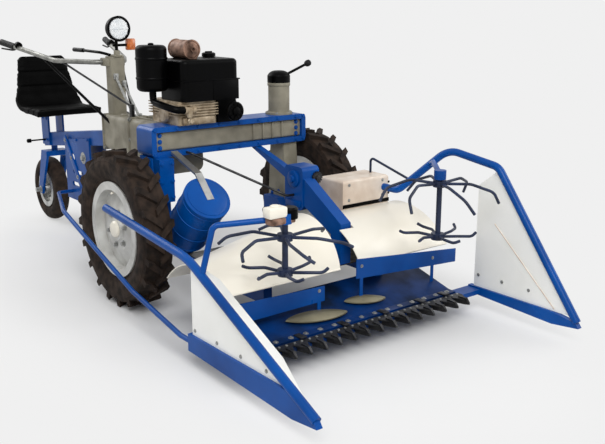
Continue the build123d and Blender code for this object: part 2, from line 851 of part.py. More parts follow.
# Guide strips: inner x, low and top, outer x, low and top, then the feet
guide_table = (
    (-120, 186, 252, 116 - tip_x, 182, 268, (-560, -150)),
    (60, 246, 336, tip_x - 16, 206, 272, (90, 540)),
)
with BuildPart() as guide_strips:
    with BuildSketch(Plane(origin=(0, GUIDE_Y, 0), x_dir=(1, 0, 0), z_dir=(0, -1, 0))):
        for inner_x, inner_low, inner_top, outer_x, outer_low, outer_top, feet in guide_table:
            with BuildLine():
                Polyline(
                    (inner_x, inner_low),
                    (inner_x, inner_top),
                    (outer_x, outer_top),
                    (outer_x, outer_low),
                    close=True,
                )
            make_face()
            with Locations(*[(foot_x, deck_top(GUIDE_Y) - DECK_T) for foot_x in feet]):
                Rectangle(
                    GUIDE_FOOT_W,
                    inner_low - deck_top(GUIDE_Y) + DECK_T + SHEET_T,
                    align=(Align.CENTER, Align.MIN),
                )
    extrude(amount=SHEET_T)
    add(deck.part, mode=Mode.SUBTRACT)
save(guide_strips, "guide_strips")

# Knotter, its arm down to the table, the brace from the beam and the trip rod
with BuildPart() as knotter_box:
    with Locations((KNOTTER_X, KNOTTER_Y, KNOTTER_LOW)):
        Box(KNOTTER_W, KNOTTER_DEPTH, KNOTTER_H, align=(Align.CENTER, Align.CENTER, Align.MIN))
    fillet(knotter_box.edges().filter_by(Axis.X), radius=KNOTTER_ROUND)
save(knotter_box, "knotter_box")

knotter_front = KNOTTER_Y - KNOTTER_DEPTH / 2
knotter_rear = KNOTTER_Y + KNOTTER_DEPTH / 2
arm_root_low = KNOTTER_LOW + KNOTTER_ROUND + SHEET_T
knotter_arm_points = (
    (knotter_front - SEAT, arm_root_low),
    (knotter_front - SEAT, arm_root_low + KNOTTER_ARM_H),
    (TABLE_FRONT, ARM_ELBOW_Z),
    (TABLE_FRONT, table_top + SEAT),
    (TABLE_FRONT + ARM_LEG_W, table_top + SEAT),
    (TABLE_FRONT + ARM_LEG_W, ARM_ELBOW_Z - KNOTTER_ARM_W),
)
save(side_profile(knotter_arm_points, KNOTTER_ARM_X, KNOTTER_ARM_W), "knotter_arm")

brace_low = KNOTTER_LOW + KNOTTER_H / 2
brace_points = (
    (BRACE_H / 2 - BRACE_W, BEAM_LOW - SEAT),
    (-BRACE_H / 2 - BRACE_W, BEAM_LOW - SEAT),
    (knotter_rear + SEAT, brace_low + BRACE_H),
    (knotter_rear + SEAT, brace_low),
)
save(side_profile(brace_points, BRACE_X, BRACE_W), "brace")

rod_start_y = -RAIL_DEPTH / 2 - SEAT
rod_end_x = KNOTTER_X - KNOTTER_W / 2 - SEAT
rod_x = CAN_X + ROD_GAP
rod_high = BEAM_LOW + RAIL_T / 2
rod_low = KNOTTER_LOW + KNOTTER_H / 3
rod_path = (
    (rod_x, rod_start_y, rod_high),
    (rod_x, rod_start_y - ROD_END, rod_high),
    (rod_end_x - ROD_END, KNOTTER_Y, rod_low),
    (rod_end_x, KNOTTER_Y, rod_low),
)
save(bent_tube(rod_path, ROD_D, ROD_D + 2), "control_rod")

# Dividers: the tubes of the two sides differ, the left one standing taller
right_tube_path = (
    (-tip_x, TIP_Y, TIP_Z),
    (-tip_x, -860, 457),
    (-tip_x, -140, 524),
)
left_tube_path = (
    (tip_x, TIP_Y, TIP_Z),
    (tip_x + 2, -1190, 700),
    (tip_x - 16, -900, 745),
    (COVER_OUTER - LEFT_TUBE_INSET, -700, 530),
    (COVER_OUTER - LEFT_TUBE_INSET, COVER_FRONT - SEAT, 530),
)
right_bends = (400,)
left_bends = (70, 110, 50)
save(bent_tube(right_tube_path, TUBE_D, right_bends), "divider_tube_right")
save(bent_tube(left_tube_path, TUBE_D, left_bends), "divider_tube_left")
right_clear = bent_tube(right_tube_path, TUBE_D + 2 * SEAT, right_bends)
left_clear = bent_tube(left_tube_path, TUBE_D + 2 * SEAT, left_bends)

skid_rear = -860
shoe_front = bar_front + 4
# Skids: side, top, rear end, tube they hold, name
for side, top, rear, clear, name in (
    (-1, 150, skid_rear, right_clear, "right"),
    (1, 112, -1060, left_clear, "left"),
):
    skid_points = (
        (TIP_Y - 16, 72),
        (TIP_Y, TIP_Z),
        (TIP_Y + 125, top),
        (rear, top),
        (rear, 78),
        (TIP_Y + 120, 56),
    )
    with BuildPart() as skid:
        add(side_profile(skid_points, side * tip_x, SKID_T).part)
        shoe_inner = bar_x + side * (bar_length / 2 + SEAT)
        with Locations((shoe_inner, shoe_front, BAR_Z)):
            Box(
                tip_x - side * shoe_inner,
                BAR_DEPTH - 8,
                BAR_T,
                align=(Align.MIN if side > 0 else Align.MAX, Align.MIN, Align.MIN),
            )
        add(clear.part, mode=Mode.SUBTRACT)
    save(skid, f"divider_skid_{name}")

right_panel_points = ((-1470, 150 + SEAT), (-880, 150 + SEAT), (-880, 448), (-1470, 179))
left_panel_points = ((-1629, 112 + SEAT), (-1085, 112 + SEAT), (-1085, 600), (-1198, 690))
inner_panel_corners = (
    (18 - tip_x, -1580, 130),
    (18 - tip_x, -900, 440),
    (86 - tip_x, -950, 379),
    (86 - tip_x, -1360, 192),
)
with BuildPart() as divider_panel_right:
    add(side_profile(right_panel_points, -tip_x, SHEET_T).part)
    add(flat_sheet(inner_panel_corners, SHEET_T).part)
    add(right_clear.part, mode=Mode.SUBTRACT)
save(divider_panel_right, "divider_panel_right")

with BuildPart() as divider_panel_left:
    add(side_profile(left_panel_points, tip_x, SHEET_T).part)
    add(left_clear.part, mode=Mode.SUBTRACT)
save(divider_panel_left, "divider_panel_left")

loop_path = (
    (COVER_OUTER - LOOP_INSET, COVER_FRONT + 90, COVER_TOP + SEAT),
    (COVER_OUTER - LOOP_INSET, COVER_FRONT + 90, LOOP_TOP),
    (*between(*left_tube_path[2:4], 0.75)[:2], 584),
)
with BuildPart() as wire_loop:
    add(bent_tube(loop_path, LOOP_D, 16).part)
    add(left_clear.part, mode=Mode.SUBTRACT)
save(wire_loop, "wire_loop")


# Star wheels: drooping wire arms at two heights on one shaft
def star_arm(reach, drop):
    """One wire arm from the hub, curling back and down at its tip."""
    path = (
        (STAR_HUB_R * 0.6, 0, 0),
        (reach * 0.52, 0, 8),
        (reach * 0.88, reach * 0.16, -drop * 0.35),
        (reach * 0.95, reach * 0.3, -drop),
    )
    return bent_tube(path, WIRE_D, reach * 0.2)


left_root = (*between(*left_tube_path[2:4], 0.35)[:2], 670)
# Side, y, upper and lower hub height, droop of the upper arms, boss height, bracket route, tube, name
star_table = (
    (-1, -1094, 546, 404, 34, 600, ((-tip_x, -960, 411), (46 - tip_x, -975, 606)), right_clear, "right"),
    (1, -1110, 650, 410, 84, 670, (left_root, (tip_x - 116, -900, 696)), left_clear, "left"),
)
for side, y, high, low, droop, boss_low, route, clear, name in star_table:
    x = side * STAR_X
    shaft_low = low - STAR_HUB_H / 2
    with BuildPart() as star:
        with Locations((x, y, shaft_low)):
            Cylinder(
                STAR_SHAFT_R,
                boss_low + BOSS_BITE - shaft_low,
                align=(Align.CENTER, Align.CENTER, Align.MIN),
            )
        with Locations((x, y, high), (x, y, low)):
            Cylinder(STAR_HUB_R, STAR_HUB_H)
        for level, reach, drop in ((high, STAR_REACH, droop), (low, LOW_STAR_REACH, -LOW_STAR_RISE)):
            with Locations((x, y, level)):
                with PolarLocations(0, STAR_ARMS):
                    add(star_arm(reach, drop).part)
    save(star, f"star_{name}")
    with BuildPart() as star_bracket:
        add(bent_tube((*route, (x, y, boss_low + BOSS_H / 2)), BRACKET_D, 30).part)
        with Locations((x, y, boss_low)):
            Cylinder(BOSS_R, BOSS_H, align=(Align.CENTER, Align.CENTER, Align.MIN))
        with BuildSketch(Plane.XY.offset(boss_low)):
            with Locations((x, y)):
                Circle(STAR_SHAFT_R + RUN)
        extrude(amount=BOSS_BITE + SHEET_T, mode=Mode.SUBTRACT)
        add(clear.part, mode=Mode.SUBTRACT)
    save(star_bracket, f"star_bracket_{name}")

# Twine can and the strap that holds its lid
lean = radians(CAN_LEAN)
can_axis = Vector(0, -sin(lean), cos(lean))
can_up = Vector(0, cos(lean), sin(lean))
can_foot = Vector(CAN_X, CAN_FOOT_Y, CAN_FOOT_Z)
can_mouth = can_foot + can_axis * (CAN_L - CAN_LID)
with BuildPart() as twine_can:
    with BuildSketch(Plane(origin=can_foot, x_dir=(1, 0, 0), z_dir=can_axis)):
        Circle(CAN_R - CAN_LIP)
    extrude(amount=CAN_L - CAN_LID)
    with BuildSketch(Plane(origin=can_foot + can_axis * SHEET_T, x_dir=(1, 0, 0), z_dir=can_axis)):
        Circle(CAN_R - CAN_LIP - SHEET_T)
    extrude(amount=CAN_L - CAN_LID, mode=Mode.SUBTRACT)
    with BuildSketch(Plane(origin=can_mouth + can_axis * SEAT, x_dir=(1, 0, 0), z_dir=can_axis)):
        Circle(CAN_R)
    extrude(amount=CAN_LID - SEAT)
save(twine_can, "twine_can")

lid_middle = can_foot + can_axis * CAN_L
strap_low = lid_middle + can_axis * SEAT - can_up * 14
strap_bend = lid_middle + can_axis * SEAT + can_up * (CAN_R + 18)
strap_points = (
    (-RAIL_DEPTH / 2 - SEAT, BEAM_LOW + RAIL_T),
    (-RAIL_DEPTH / 2 - SEAT, BEAM_LOW + RAIL_T - 2 * STRAP_T),
    (strap_bend.Y, strap_bend.Z),
    (strap_low.Y, strap_low.Z),
    (strap_low.Y + can_axis.Y * STRAP_T, strap_low.Z + can_axis.Z * STRAP_T),
    (strap_bend.Y + can_axis.Y * STRAP_T * 0.6, strap_bend.Z + STRAP_T * 1.5),
)
save(side_profile(strap_points, CAN_X + 10, STRAP_W), "can_strap")

# Rear carriage
def drawbar_low(y):
    """Height of the drawbar's underside."""
    share = (y - GEARBOX_REAR) / (DRAWBAR_REAR - GEARBOX_REAR)
    return DRAWBAR_FRONT_LOW + (DRAWBAR_REAR_LOW - DRAWBAR_FRONT_LOW) * share


drawbar_points = (
    (GEARBOX_REAR, DRAWBAR_FRONT_LOW),
    (GEARBOX_REAR, DRAWBAR_FRONT_LOW + DRAWBAR_H),
    (DRAWBAR_REAR, DRAWBAR_REAR_LOW + DRAWBAR_H),
    (DRAWBAR_REAR, DRAWBAR_REAR_LOW),
)
with BuildPart() as drawbar:
    add(side_profile(drawbar_points, UNIT_X, DRAWBAR_W).part)
    with BuildSketch(Plane.XY.offset(DRAWBAR_REAR_LOW - 10)):
        with Locations((UNIT_X, SWIVEL_Y)):
            Circle(SWIVEL_R + RUN)
    extrude(amount=DRAWBAR_H - 10, mode=Mode.SUBTRACT)
save(drawbar, "drawbar")

bar_offset = DRAWBAR_W / 2 + SEAT + POST_BAR_T / 2
with BuildPart() as seat_post:
    with Locations((UNIT_X - bar_offset, SWIVEL_Y, 0), (UNIT_X + bar_offset, SWIVEL_Y, 0)):
        with Locations((0, 0, drawbar_low(SWIVEL_Y) + 8)):
            Box(
                POST_BAR_T,
                POST_BAR_W,
                SEAT_LOW - SEAT - drawbar_low(SWIVEL_Y) - 8,
                align=(Align.CENTER, Align.CENTER, Align.MIN),
            )
    with Locations((UNIT_X, SWIVEL_Y - 50, SEAT_LOW - SEAT)):
        Box(2 * bar_offset + POST_BAR_T, 210, POST_BAR_T, align=(Align.CENTER, Align.CENTER, Align.MAX))
save(seat_post, "seat_post")

knob_x = UNIT_X - bar_offset - POST_BAR_T / 2 - SEAT
with BuildPart() as lock_knob:
    with BuildSketch(Plane(origin=(knob_x, SWIVEL_Y, KNOB_Z), z_dir=(-1, 0, 0))):
        Circle(KNOB_ROD_R)
    extrude(amount=KNOB_ROD_L)
    with BuildSketch(Plane(origin=(knob_x - KNOB_ROD_L, SWIVEL_Y, KNOB_Z), z_dir=(-1, 0, 0))):
        Circle(KNOB_R)
    extrude(amount=2 * KNOB_R)
    fillet(lock_knob.edges().filter_by(GeomType.CIRCLE).sort_by(Axis.X)[0], radius=KNOB_R * 0.6)
save(lock_knob, "lock_knob")

# Rear bracket: a channel round the drawbar, its sides lightened by round holes and slots
hitch_middle = (HITCH_FRONT + HITCH_REAR) / 2
hitch_outline = (
    (HITCH_FRONT, drawbar_low(HITCH_FRONT) + DRAWBAR_H / 2),
    (HITCH_FRONT, drawbar_low(HITCH_FRONT) - DRAWBAR_H),
    (HITCH_FRONT + HITCH_TAPER, HITCH_LOW),
    (HITCH_REAR, HITCH_LOW),
    (HITCH_REAR, drawbar_low(HITCH_REAR) + DRAWBAR_H / 2),
)
with BuildPart() as rear_bracket:
    with BuildSketch(Plane.YZ.offset(UNIT_X)):
        with BuildLine():
            Polyline(*hitch_outline, close=True)
        make_face()
        with Locations((hitch_middle - HITCH_L / 4, 516), (hitch_middle + HITCH_HOLE_R * 2.5, 496)):
            Circle(HITCH_HOLE_R, mode=Mode.SUBTRACT)
        with Locations((hitch_middle, 412), (hitch_middle + 20, 334)):
            SlotOverall(HITCH_SLOT_L, HITCH_SLOT_W, mode=Mode.SUBTRACT)
    extrude(amount=bar_offset + POST_BAR_T / 2, both=True)
    with Locations((UNIT_X, hitch_middle, HITCH_LOW + POST_BAR_T)):
        Box(
            DRAWBAR_W + 2 * SEAT,
            HITCH_REAR - HITCH_FRONT,
            drawbar_low(HITCH_FRONT),
            align=(Align.CENTER, Align.CENTER, Align.MIN),
            mode=Mode.SUBTRACT,
        )
        Hole(HITCH_R)
save(rear_bracket, "rear_bracket")

# Guard rail from the right skid round the wheel to the bracket
bracket_face = UNIT_X - bar_offset - POST_BAR_T / 2 - SEAT
rail_path = (
    (-tip_x, skid_rear + SEAT, 114),
    (-tip_x, skid_rear + 80, 114),
    (10 - tip_x, -350, 180),
    (16 - tip_x, 20, 285),
    (26 - tip_x, 420, 398),
    (bracket_face - 90, HITCH_REAR - 70, 280),
    (bracket_face, HITCH_REAR - 70, 280),
)
save(bent_tube(rail_path, RAIL_D, (60, 200, 200, 120, 50)), "guard_rail")

fork_x = FORK_GAP / 2 + FORK_T / 2
fork_points = (
    (SWIVEL_Y - CROWN_DEPTH / 2, FORK_CROWN_LOW),
    (SWIVEL_Y - CROWN_DEPTH / 2, FORK_CROWN_LOW + CROWN_H),
    (SWIVEL_Y + CROWN_DEPTH / 2, FORK_CROWN_LOW + CROWN_H),
    (REAR_Y + 32, REAR_R + 10),
    (REAR_Y + 20, REAR_R - 28),
    (REAR_Y - 20, REAR_R - 28),
    (REAR_Y - 32, REAR_R + 10),
)
with BuildPart() as rear_fork:
    add(side_profile(fork_points, UNIT_X - fork_x, FORK_T).part)
    add(side_profile(fork_points, UNIT_X + fork_x, FORK_T).part)
    with Locations((UNIT_X, SWIVEL_Y, FORK_CROWN_LOW)):
        Box(FORK_GAP + 2, CROWN_DEPTH, CROWN_H, align=(Align.CENTER, Align.CENTER, Align.MIN))
        Cylinder(SWIVEL_R, CROWN_H + SWIVEL_L, align=(Align.CENTER, Align.CENTER, Align.MIN))
    with Locations((UNIT_X, REAR_Y, REAR_R)):
        Cylinder(REAR_AXLE_R, FORK_GAP + 2 * FORK_T + 20, rotation=(0, 90, 0))
save(rear_fork, "rear_fork")

rear_axis = Axis((UNIT_X, REAR_Y, REAR_R), (1, 0, 0))
rear_section = Plane(origin=(UNIT_X, REAR_Y, REAR_R), x_dir=(1, 0, 0), z_dir=(0, -1, 0))
half_rear = REAR_W / 2
with BuildPart() as rear_tyre:
    with BuildSketch(rear_section):
        with BuildLine():
            Polyline(
                (-half_rear * 0.7, REAR_BEAD_R + 22),
                (-half_rear * 0.7, REAR_BEAD_R),
                (half_rear * 0.7, REAR_BEAD_R),
                (half_rear * 0.7, REAR_BEAD_R + 22),
            )
            ThreePointArc(
                (half_rear * 0.7, REAR_BEAD_R + 22),
                (half_rear, REAR_BEAD_R + 60),
                (half_rear * 0.74, REAR_R - 12),
            )
            ThreePointArc((half_rear * 0.74, REAR_R - 12), (0, REAR_R), (-half_rear * 0.74, REAR_R - 12))
            ThreePointArc(
                (-half_rear * 0.74, REAR_R - 12),
                (-half_rear, REAR_BEAD_R + 60),
                (-half_rear * 0.7, REAR_BEAD_R + 22),
            )
        make_face()
    revolve(axis=rear_axis)
save(rear_tyre, "rear_tyre")

with BuildPart() as rear_rim:
    with BuildSketch(rear_section):
        with BuildLine():
            edge = half_rear * 0.7 + 2
            Polyline(
                (-edge - 5, REAR_BEAD_R - 14),
                (-edge - 5, REAR_BEAD_R + 18),
                (-edge, REAR_BEAD_R + 18),
                (-edge, REAR_BEAD_R - SEAT),
                (edge, REAR_BEAD_R - SEAT),
                (edge, REAR_BEAD_R + 18),
                (edge + 5, REAR_BEAD_R + 18),
                (edge + 5, REAR_BEAD_R - 14),
                close=True,
            )
        make_face()
        with BuildLine():
            Polyline(
                (-5, REAR_BEAD_R - 10),
                (5, REAR_BEAD_R - 10),
                (5, 40),
                (REAR_HUB_W / 2, 32),
                (REAR_HUB_W / 2, REAR_AXLE_R + RUN),
                (-REAR_HUB_W / 2, REAR_AXLE_R + RUN),
                (-REAR_HUB_W / 2, 32),
                (-5, 40),
                close=True,
            )
        make_face()
    revolve(axis=rear_axis)
save(rear_rim, "rear_rim")

seat_rear = SEAT_FRONT + SEAT_DEPTH
with BuildPart() as seat:
    with BuildSketch(Plane.YZ.offset(UNIT_X)):
        with BuildLine():
            Polyline((seat_rear - 130, SEAT_LOW + SEAT_T), (SEAT_FRONT, SEAT_LOW + SEAT_T + 6))
            Line((SEAT_FRONT, SEAT_LOW + SEAT_T + 6), (SEAT_FRONT, SEAT_LOW))
            Line((SEAT_FRONT, SEAT_LOW), (seat_rear - 110, SEAT_LOW))
            ThreePointArc(
                (seat_rear - 110, SEAT_LOW),
                (seat_rear - 30, SEAT_LOW + 34),
                (seat_rear, SEAT_LOW + 120),
            )
            Polyline(
                (seat_rear, SEAT_LOW + 120),
                (seat_rear + 40, SEAT_BACK_TOP - 8),
                (seat_rear + 8, SEAT_BACK_TOP),
                (seat_rear - 34, SEAT_LOW + 124),
            )
            ThreePointArc(
                (seat_rear - 34, SEAT_LOW + 124),
                (seat_rear - 60, SEAT_LOW + 60),
                (seat_rear - 130, SEAT_LOW + SEAT_T),
            )
        make_face()
    extrude(amount=SEAT_W / 2, both=True)
    with BuildSketch(Plane.XZ.offset(-seat_rear - 60)):
        with BuildLine():
            Polyline(
                (UNIT_X - SEAT_W / 2, SEAT_LOW - 10),
                (UNIT_X - SEAT_W / 2, SEAT_LOW + 70),
                (UNIT_X - SEAT_BACK_W / 2, SEAT_BACK_TOP - 30),
                (UNIT_X - SEAT_BACK_W / 2 + 40, SEAT_BACK_TOP + 10),
                (UNIT_X + SEAT_BACK_W / 2 - 40, SEAT_BACK_TOP + 10),
                (UNIT_X + SEAT_BACK_W / 2, SEAT_BACK_TOP - 30),
                (UNIT_X + SEAT_W / 2, SEAT_LOW + 70),
                (UNIT_X + SEAT_W / 2, SEAT_LOW - 10),
                close=True,
            )
        make_face()
    extrude(amount=seat_rear - SEAT_FRONT + 100, mode=Mode.INTERSECT)
save(seat, "seat")
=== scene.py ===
"""Dresses a reaper binder with a riding carriage: paint, rubber, castings, fasteners and small fittings."""

import json
import math

import bmesh
import bpy
from mathutils import Matrix, Vector


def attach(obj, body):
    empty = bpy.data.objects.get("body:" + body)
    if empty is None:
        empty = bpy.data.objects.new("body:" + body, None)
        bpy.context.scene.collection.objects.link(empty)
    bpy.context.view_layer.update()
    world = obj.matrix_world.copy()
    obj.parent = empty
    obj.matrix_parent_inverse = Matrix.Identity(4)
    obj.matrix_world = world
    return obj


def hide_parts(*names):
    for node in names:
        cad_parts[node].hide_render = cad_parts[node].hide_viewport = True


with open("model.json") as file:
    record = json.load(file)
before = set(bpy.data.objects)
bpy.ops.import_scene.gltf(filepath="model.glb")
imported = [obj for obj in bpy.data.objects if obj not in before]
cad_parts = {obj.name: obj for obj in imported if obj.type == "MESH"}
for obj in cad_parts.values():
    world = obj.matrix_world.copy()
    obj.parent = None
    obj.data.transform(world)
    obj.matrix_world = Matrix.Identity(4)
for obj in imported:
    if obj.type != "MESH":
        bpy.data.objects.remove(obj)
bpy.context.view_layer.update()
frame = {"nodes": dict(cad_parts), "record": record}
nodes = frame["nodes"]

scene = bpy.context.scene
scene.view_settings.view_transform = "Standard"


# Colours and node trees

def linear(code):
    """Linear colour from an sRGB hex code."""
    steps = [int(code[index:index + 2], 16) / 255 for index in (1, 3, 5)]
    return (*[s / 12.92 if s <= 0.04045 else ((s + 0.055) / 1.055) ** 2.4 for s in steps], 1.0)


def add_node(tree, kind, values=None, links=None, **settings):
    """One node with its settings, its sockets' values and the outputs that feed it."""
    node = tree.nodes.new(kind)
    for key, value in settings.items():
        setattr(node, key, value)
    for key, value in (values or {}).items():
        node.inputs[key].default_value = value
    for key, outputs in (links or {}).items():
        for output in outputs if isinstance(outputs, list) else [outputs]:
            tree.links.new(output, node.inputs[key])
    return node


SOCKETS = {
    "roughness": "Roughness",
    "metallic": "Metallic",
    "ior": "IOR",
    "coat": "Coat Weight",
    "specular": "Specular IOR Level",
}
# Octaves of the noise behind the colour patches and behind the relief
MOTTLE_DETAIL = 4.0
GRAIN_DETAIL = 3.0


def finish_material(name, colour, **sockets):
    """A material with its principled shader, whose plain sockets are set directly."""
    material = bpy.data.materials.new(name)
    material.use_nodes = True
    shader = material.node_tree.nodes["Principled BSDF"]
    shader.inputs["Base Color"].default_value = linear(colour)
    for key, value in sockets.items():
        shader.inputs[SOCKETS[key]].default_value = value
    return material


def mottle(material, pale, dark, grain_mm, sheen, low=0.35, high=0.65):
    """Colour that drifts between two tones in patches of about grain_mm, and roughness with it."""
    tree = material.node_tree
    place = add_node(tree, "ShaderNodeTexCoord")
    noise = add_node(
        tree,
        "ShaderNodeTexNoise",
        {"Scale": 1000 / grain_mm, "Detail": MOTTLE_DETAIL},
        {"Vector": place.outputs["Object"]},
    )
    ramp = add_node(tree, "ShaderNodeValToRGB", links={"Fac": noise.outputs["Fac"]})
    for element, position, tone in zip(ramp.color_ramp.elements, (low, high), (dark, pale)):
        element.position = position
        element.color = linear(tone)
    shader = tree.nodes["Principled BSDF"]
    tree.links.new(ramp.outputs["Color"], shader.inputs["Base Color"])
    smooth, rough = sheen
    spread = add_node(
        tree,
        "ShaderNodeMapRange",
        {"From Min": low, "From Max": high, "To Min": rough, "To Max": smooth},
        {"Value": noise.outputs["Fac"]},
    )
    tree.links.new(spread.outputs["Result"], shader.inputs["Roughness"])


def grain(material, grain_mm, height_mm, strength, stretch=(1, 1, 1)):
    """Fine surface relief, such as a sand casting's or a sprayed coat's."""
    tree = material.node_tree
    place = add_node(tree, "ShaderNodeTexCoord")
    stretched = add_node(
        tree, "ShaderNodeMapping", {"Scale": stretch}, {"Vector": place.outputs["Object"]}
    )
    noise = add_node(
        tree,
        "ShaderNodeTexNoise",
        {"Scale": 1000 / grain_mm, "Detail": GRAIN_DETAIL},
        {"Vector": stretched.outputs["Vector"]},
    )
    bump = add_node(
        tree,
        "ShaderNodeBump",
        {"Strength": strength, "Distance": height_mm / 1000},
        {"Height": noise.outputs["Fac"]},
    )
    tree.links.new(bump.outputs["Normal"], tree.nodes["Principled BSDF"].inputs["Normal"])


# Royal blue alkyd enamel: deep gloss with a slight ripple and faint fading
blue_enamel = finish_material("blue alkyd enamel", "#00458f", specular=0.18)
mottle(blue_enamel, "#004e9f", "#003b80", 240, (0.26, 0.4), low=0.3, high=0.7)
grain(blue_enamel, 30, 0.25, 0.2)

# The same enamel on the header's plates, darkened as painted shade where the deck lies low under the hoods
shaded_deck_enamel = finish_material("blue enamel darkened as painted shade on deck plate", "#002a5e", specular=0.16)
mottle(shaded_deck_enamel, "#002f6a", "#001530", 160, (0.34, 0.55))
grain(shaded_deck_enamel, 25, 0.2, 0.25)

# Cream enamel on pressed sheet: smooth and glossy with a warm tint
cream_enamel = finish_material("cream enamel on sheet", "#efe8dc", coat=0.2)
mottle(cream_enamel, "#f5f0e4", "#ece5d4", 300, (0.28, 0.4), low=0.25, high=0.75)

# Beige enamel on the drive cover, tanned by engine heat and dust
cover_enamel = finish_material("beige enamel on drive cover", "#d9c9b8", coat=0.1)
mottle(cover_enamel, "#e2d4c4", "#c9b5a2", 120, (0.32, 0.5))

# Neutral white enamel on the dividers' flat panels, a little greyed by straw
panel_enamel = finish_material("white enamel on divider panel", "#f2f2ee", coat=0.2)
mottle(panel_enamel, "#f8f8f5", "#ecece6", 280, (0.28, 0.42), low=0.25, high=0.75)

# Pale grey enamel on the spun wheel discs: their cream enamel greyed as painted shade
shaded_disc_enamel = finish_material("cream enamel greyed as painted shade on wheel disc", "#c4c4c0", coat=0.1)
mottle(shaded_disc_enamel, "#cfcfcb", "#b2b1ac", 90, (0.36, 0.55))

# Grey-beige machine paint over sand-cast iron: pebbled, low gloss
cast_paint = finish_material("grey paint on sand-cast iron", "#857f70", specular=0.35)
mottle(cast_paint, "#8e8979", "#777264", 90, (0.46, 0.66))
grain(cast_paint, 5, 0.5, 0.4)

# Bare die-cast aluminium of the engine's crankcase and carburettor, stained by oil
engine_alloy = finish_material("oil-stained die-cast alloy", "#9d8d76", metallic=0.3)
mottle(engine_alloy, "#baaa91", "#84725a", 40, (0.4, 0.62))
grain(engine_alloy, 3, 0.3, 0.35)

# Stove black on engine sheet metal: smooth, fairly glossy
stove_black = finish_material("stove black enamel", "#030303", specular=0.06)
mottle(stove_black, "#040405", "#010101", 110, (0.3, 0.46))
grain(stove_black, 10, 0.12, 0.15)

# Exhaust steel browned by heat: dull and blotched
heat_brown = finish_material("heat-browned exhaust steel", "#7d5d4d", specular=0.3)
mottle(heat_brown, "#9a7866", "#4d382d", 35, (0.5, 0.75))
grain(heat_brown, 4, 0.2, 0.25)

# Bright mild steel, ground and worn by straw
bright_steel = finish_material("ground mild steel", "#b4b4b2", metallic=0.9)
mottle(bright_steel, "#c0c0bd", "#9c9d9c", 50, (0.28, 0.42))
grain(bright_steel, 2, 0.1, 0.25, (1, 12, 12))

# Tool steel of knife and fingers: oiled and dark with brighter patches
dark_steel = finish_material("oiled tool steel", "#2a2a2c", metallic=0.7)
mottle(dark_steel, "#3a3a3b", "#1b1b1d", 40, (0.34, 0.52))
grain(dark_steel, 3, 0.12, 0.25)

# Spring steel of the lifting blades, polished and yellowed by straw
straw_steel = finish_material("straw-worn spring steel", "#77735f", metallic=0.45)
mottle(straw_steel, "#857f68", "#696450", 130, (0.3, 0.45))
grain(straw_steel, 4, 0.12, 0.3, (1, 8, 8))

# Dull plated tube of the handlebar, greyed by weather
bar_steel = finish_material("weathered plated tube", "#8a8a86", metallic=0.75)
mottle(bar_steel, "#979792", "#70706c", 45, (0.36, 0.54))

# Zinc-plated steel of fasteners: greyer and duller
zinc_steel = finish_material("zinc-plated steel", "#a5a6a4", metallic=0.85)
mottle(zinc_steel, "#b0b1ae", "#8c8d8b", 14, (0.36, 0.52))

# Slate-blue paint on spring wire
wire_paint = finish_material("slate paint on spring wire", "#1d2740", specular=0.3)
mottle(wire_paint, "#25304c", "#161e32", 60, (0.36, 0.5))

# Tractor tyre rubber: brown-black, dusty in the hollows, finely rough
tyre_rubber = finish_material("natural rubber tyre", "#251c17", specular=0.2)
mottle(tyre_rubber, "#33271f", "#1a1512", 45, (0.74, 0.92))
grain(tyre_rubber, 3, 0.3, 0.35)

# Moulded black rubber of the grips and knobs
grip_rubber = finish_material("moulded black rubber", "#0c0c0d", specular=0.25)
mottle(grip_rubber, "#111112", "#080809", 18, (0.52, 0.7))
grain(grip_rubber, 3, 0.15, 0.3)

# Black vinyl of the seat: fine leather-like grain, soft sheen
seat_vinyl = finish_material("grained black vinyl", "#020202", specular=0.05)
mottle(seat_vinyl, "#030303", "#010101", 80, (0.5, 0.66))
grain(seat_vinyl, 3, 0.3, 0.4)

# Pressed glass of the headlamp, silvered behind
lamp_glass = finish_material("pressed lamp glass", "#f1f3f3", ior=1.5, coat=0.5)
mottle(lamp_glass, "#f6f8f8", "#e0e5e8", 30, (0.08, 0.16))

# Amber moulded lens of the side lamp
amber_lens = finish_material("amber lens", "#c8672a", coat=0.6)
mottle(amber_lens, "#d27332", "#b25621", 24, (0.14, 0.26))

SLOT_FINISH = {
    "blue_paint": blue_enamel,
    "cream_paint": cream_enamel,
    "cast_grey": cast_paint,
    "black_paint": stove_black,
    "muffler_brown": heat_brown,
    "bright_steel": bright_steel,
    "dark_steel": dark_steel,
    "star_wire": wire_paint,
    "tyre_rubber": tyre_rubber,
    "grip_rubber": grip_rubber,
    "seat_cover": seat_vinyl,
    "lamp_glass": lamp_glass,
}
NODE_FINISH = {
    # The deck and the finger bar get the blue enamel darkened as painted shade
    "deck": shaded_deck_enamel,
    "finger_bar": shaded_deck_enamel,
    "engine_block": engine_alloy,
    "handlebar": bar_steel,
    "wire_loop": wire_paint,
    "drive_cover": cover_enamel,
    "divider_panel_left": panel_enamel,
    "divider_panel_right": panel_enamel,
    # The wheel discs get the cream enamel greyed as painted shade
    "rim_left": shaded_disc_enamel,
    "rim_right": shaded_disc_enamel,
}

for entry in frame["record"]["subparts"]:
    part = nodes[entry["node"]]
    part.data.materials.clear()
    part.data.materials.append(NODE_FINISH.get(entry["node"], SLOT_FINISH[entry["material_slot"]]))


# Shapes, all in millimetres until they are finished

# Edges that turn more than this many degrees stay sharp
SHARP_ANGLE = 35


def square_to(axis):
    """An axis of unit length and two directions square to it."""
    axis = Vector(axis).normalized()
    side = axis.orthogonal().normalized()
    return axis, side, axis.cross(side)


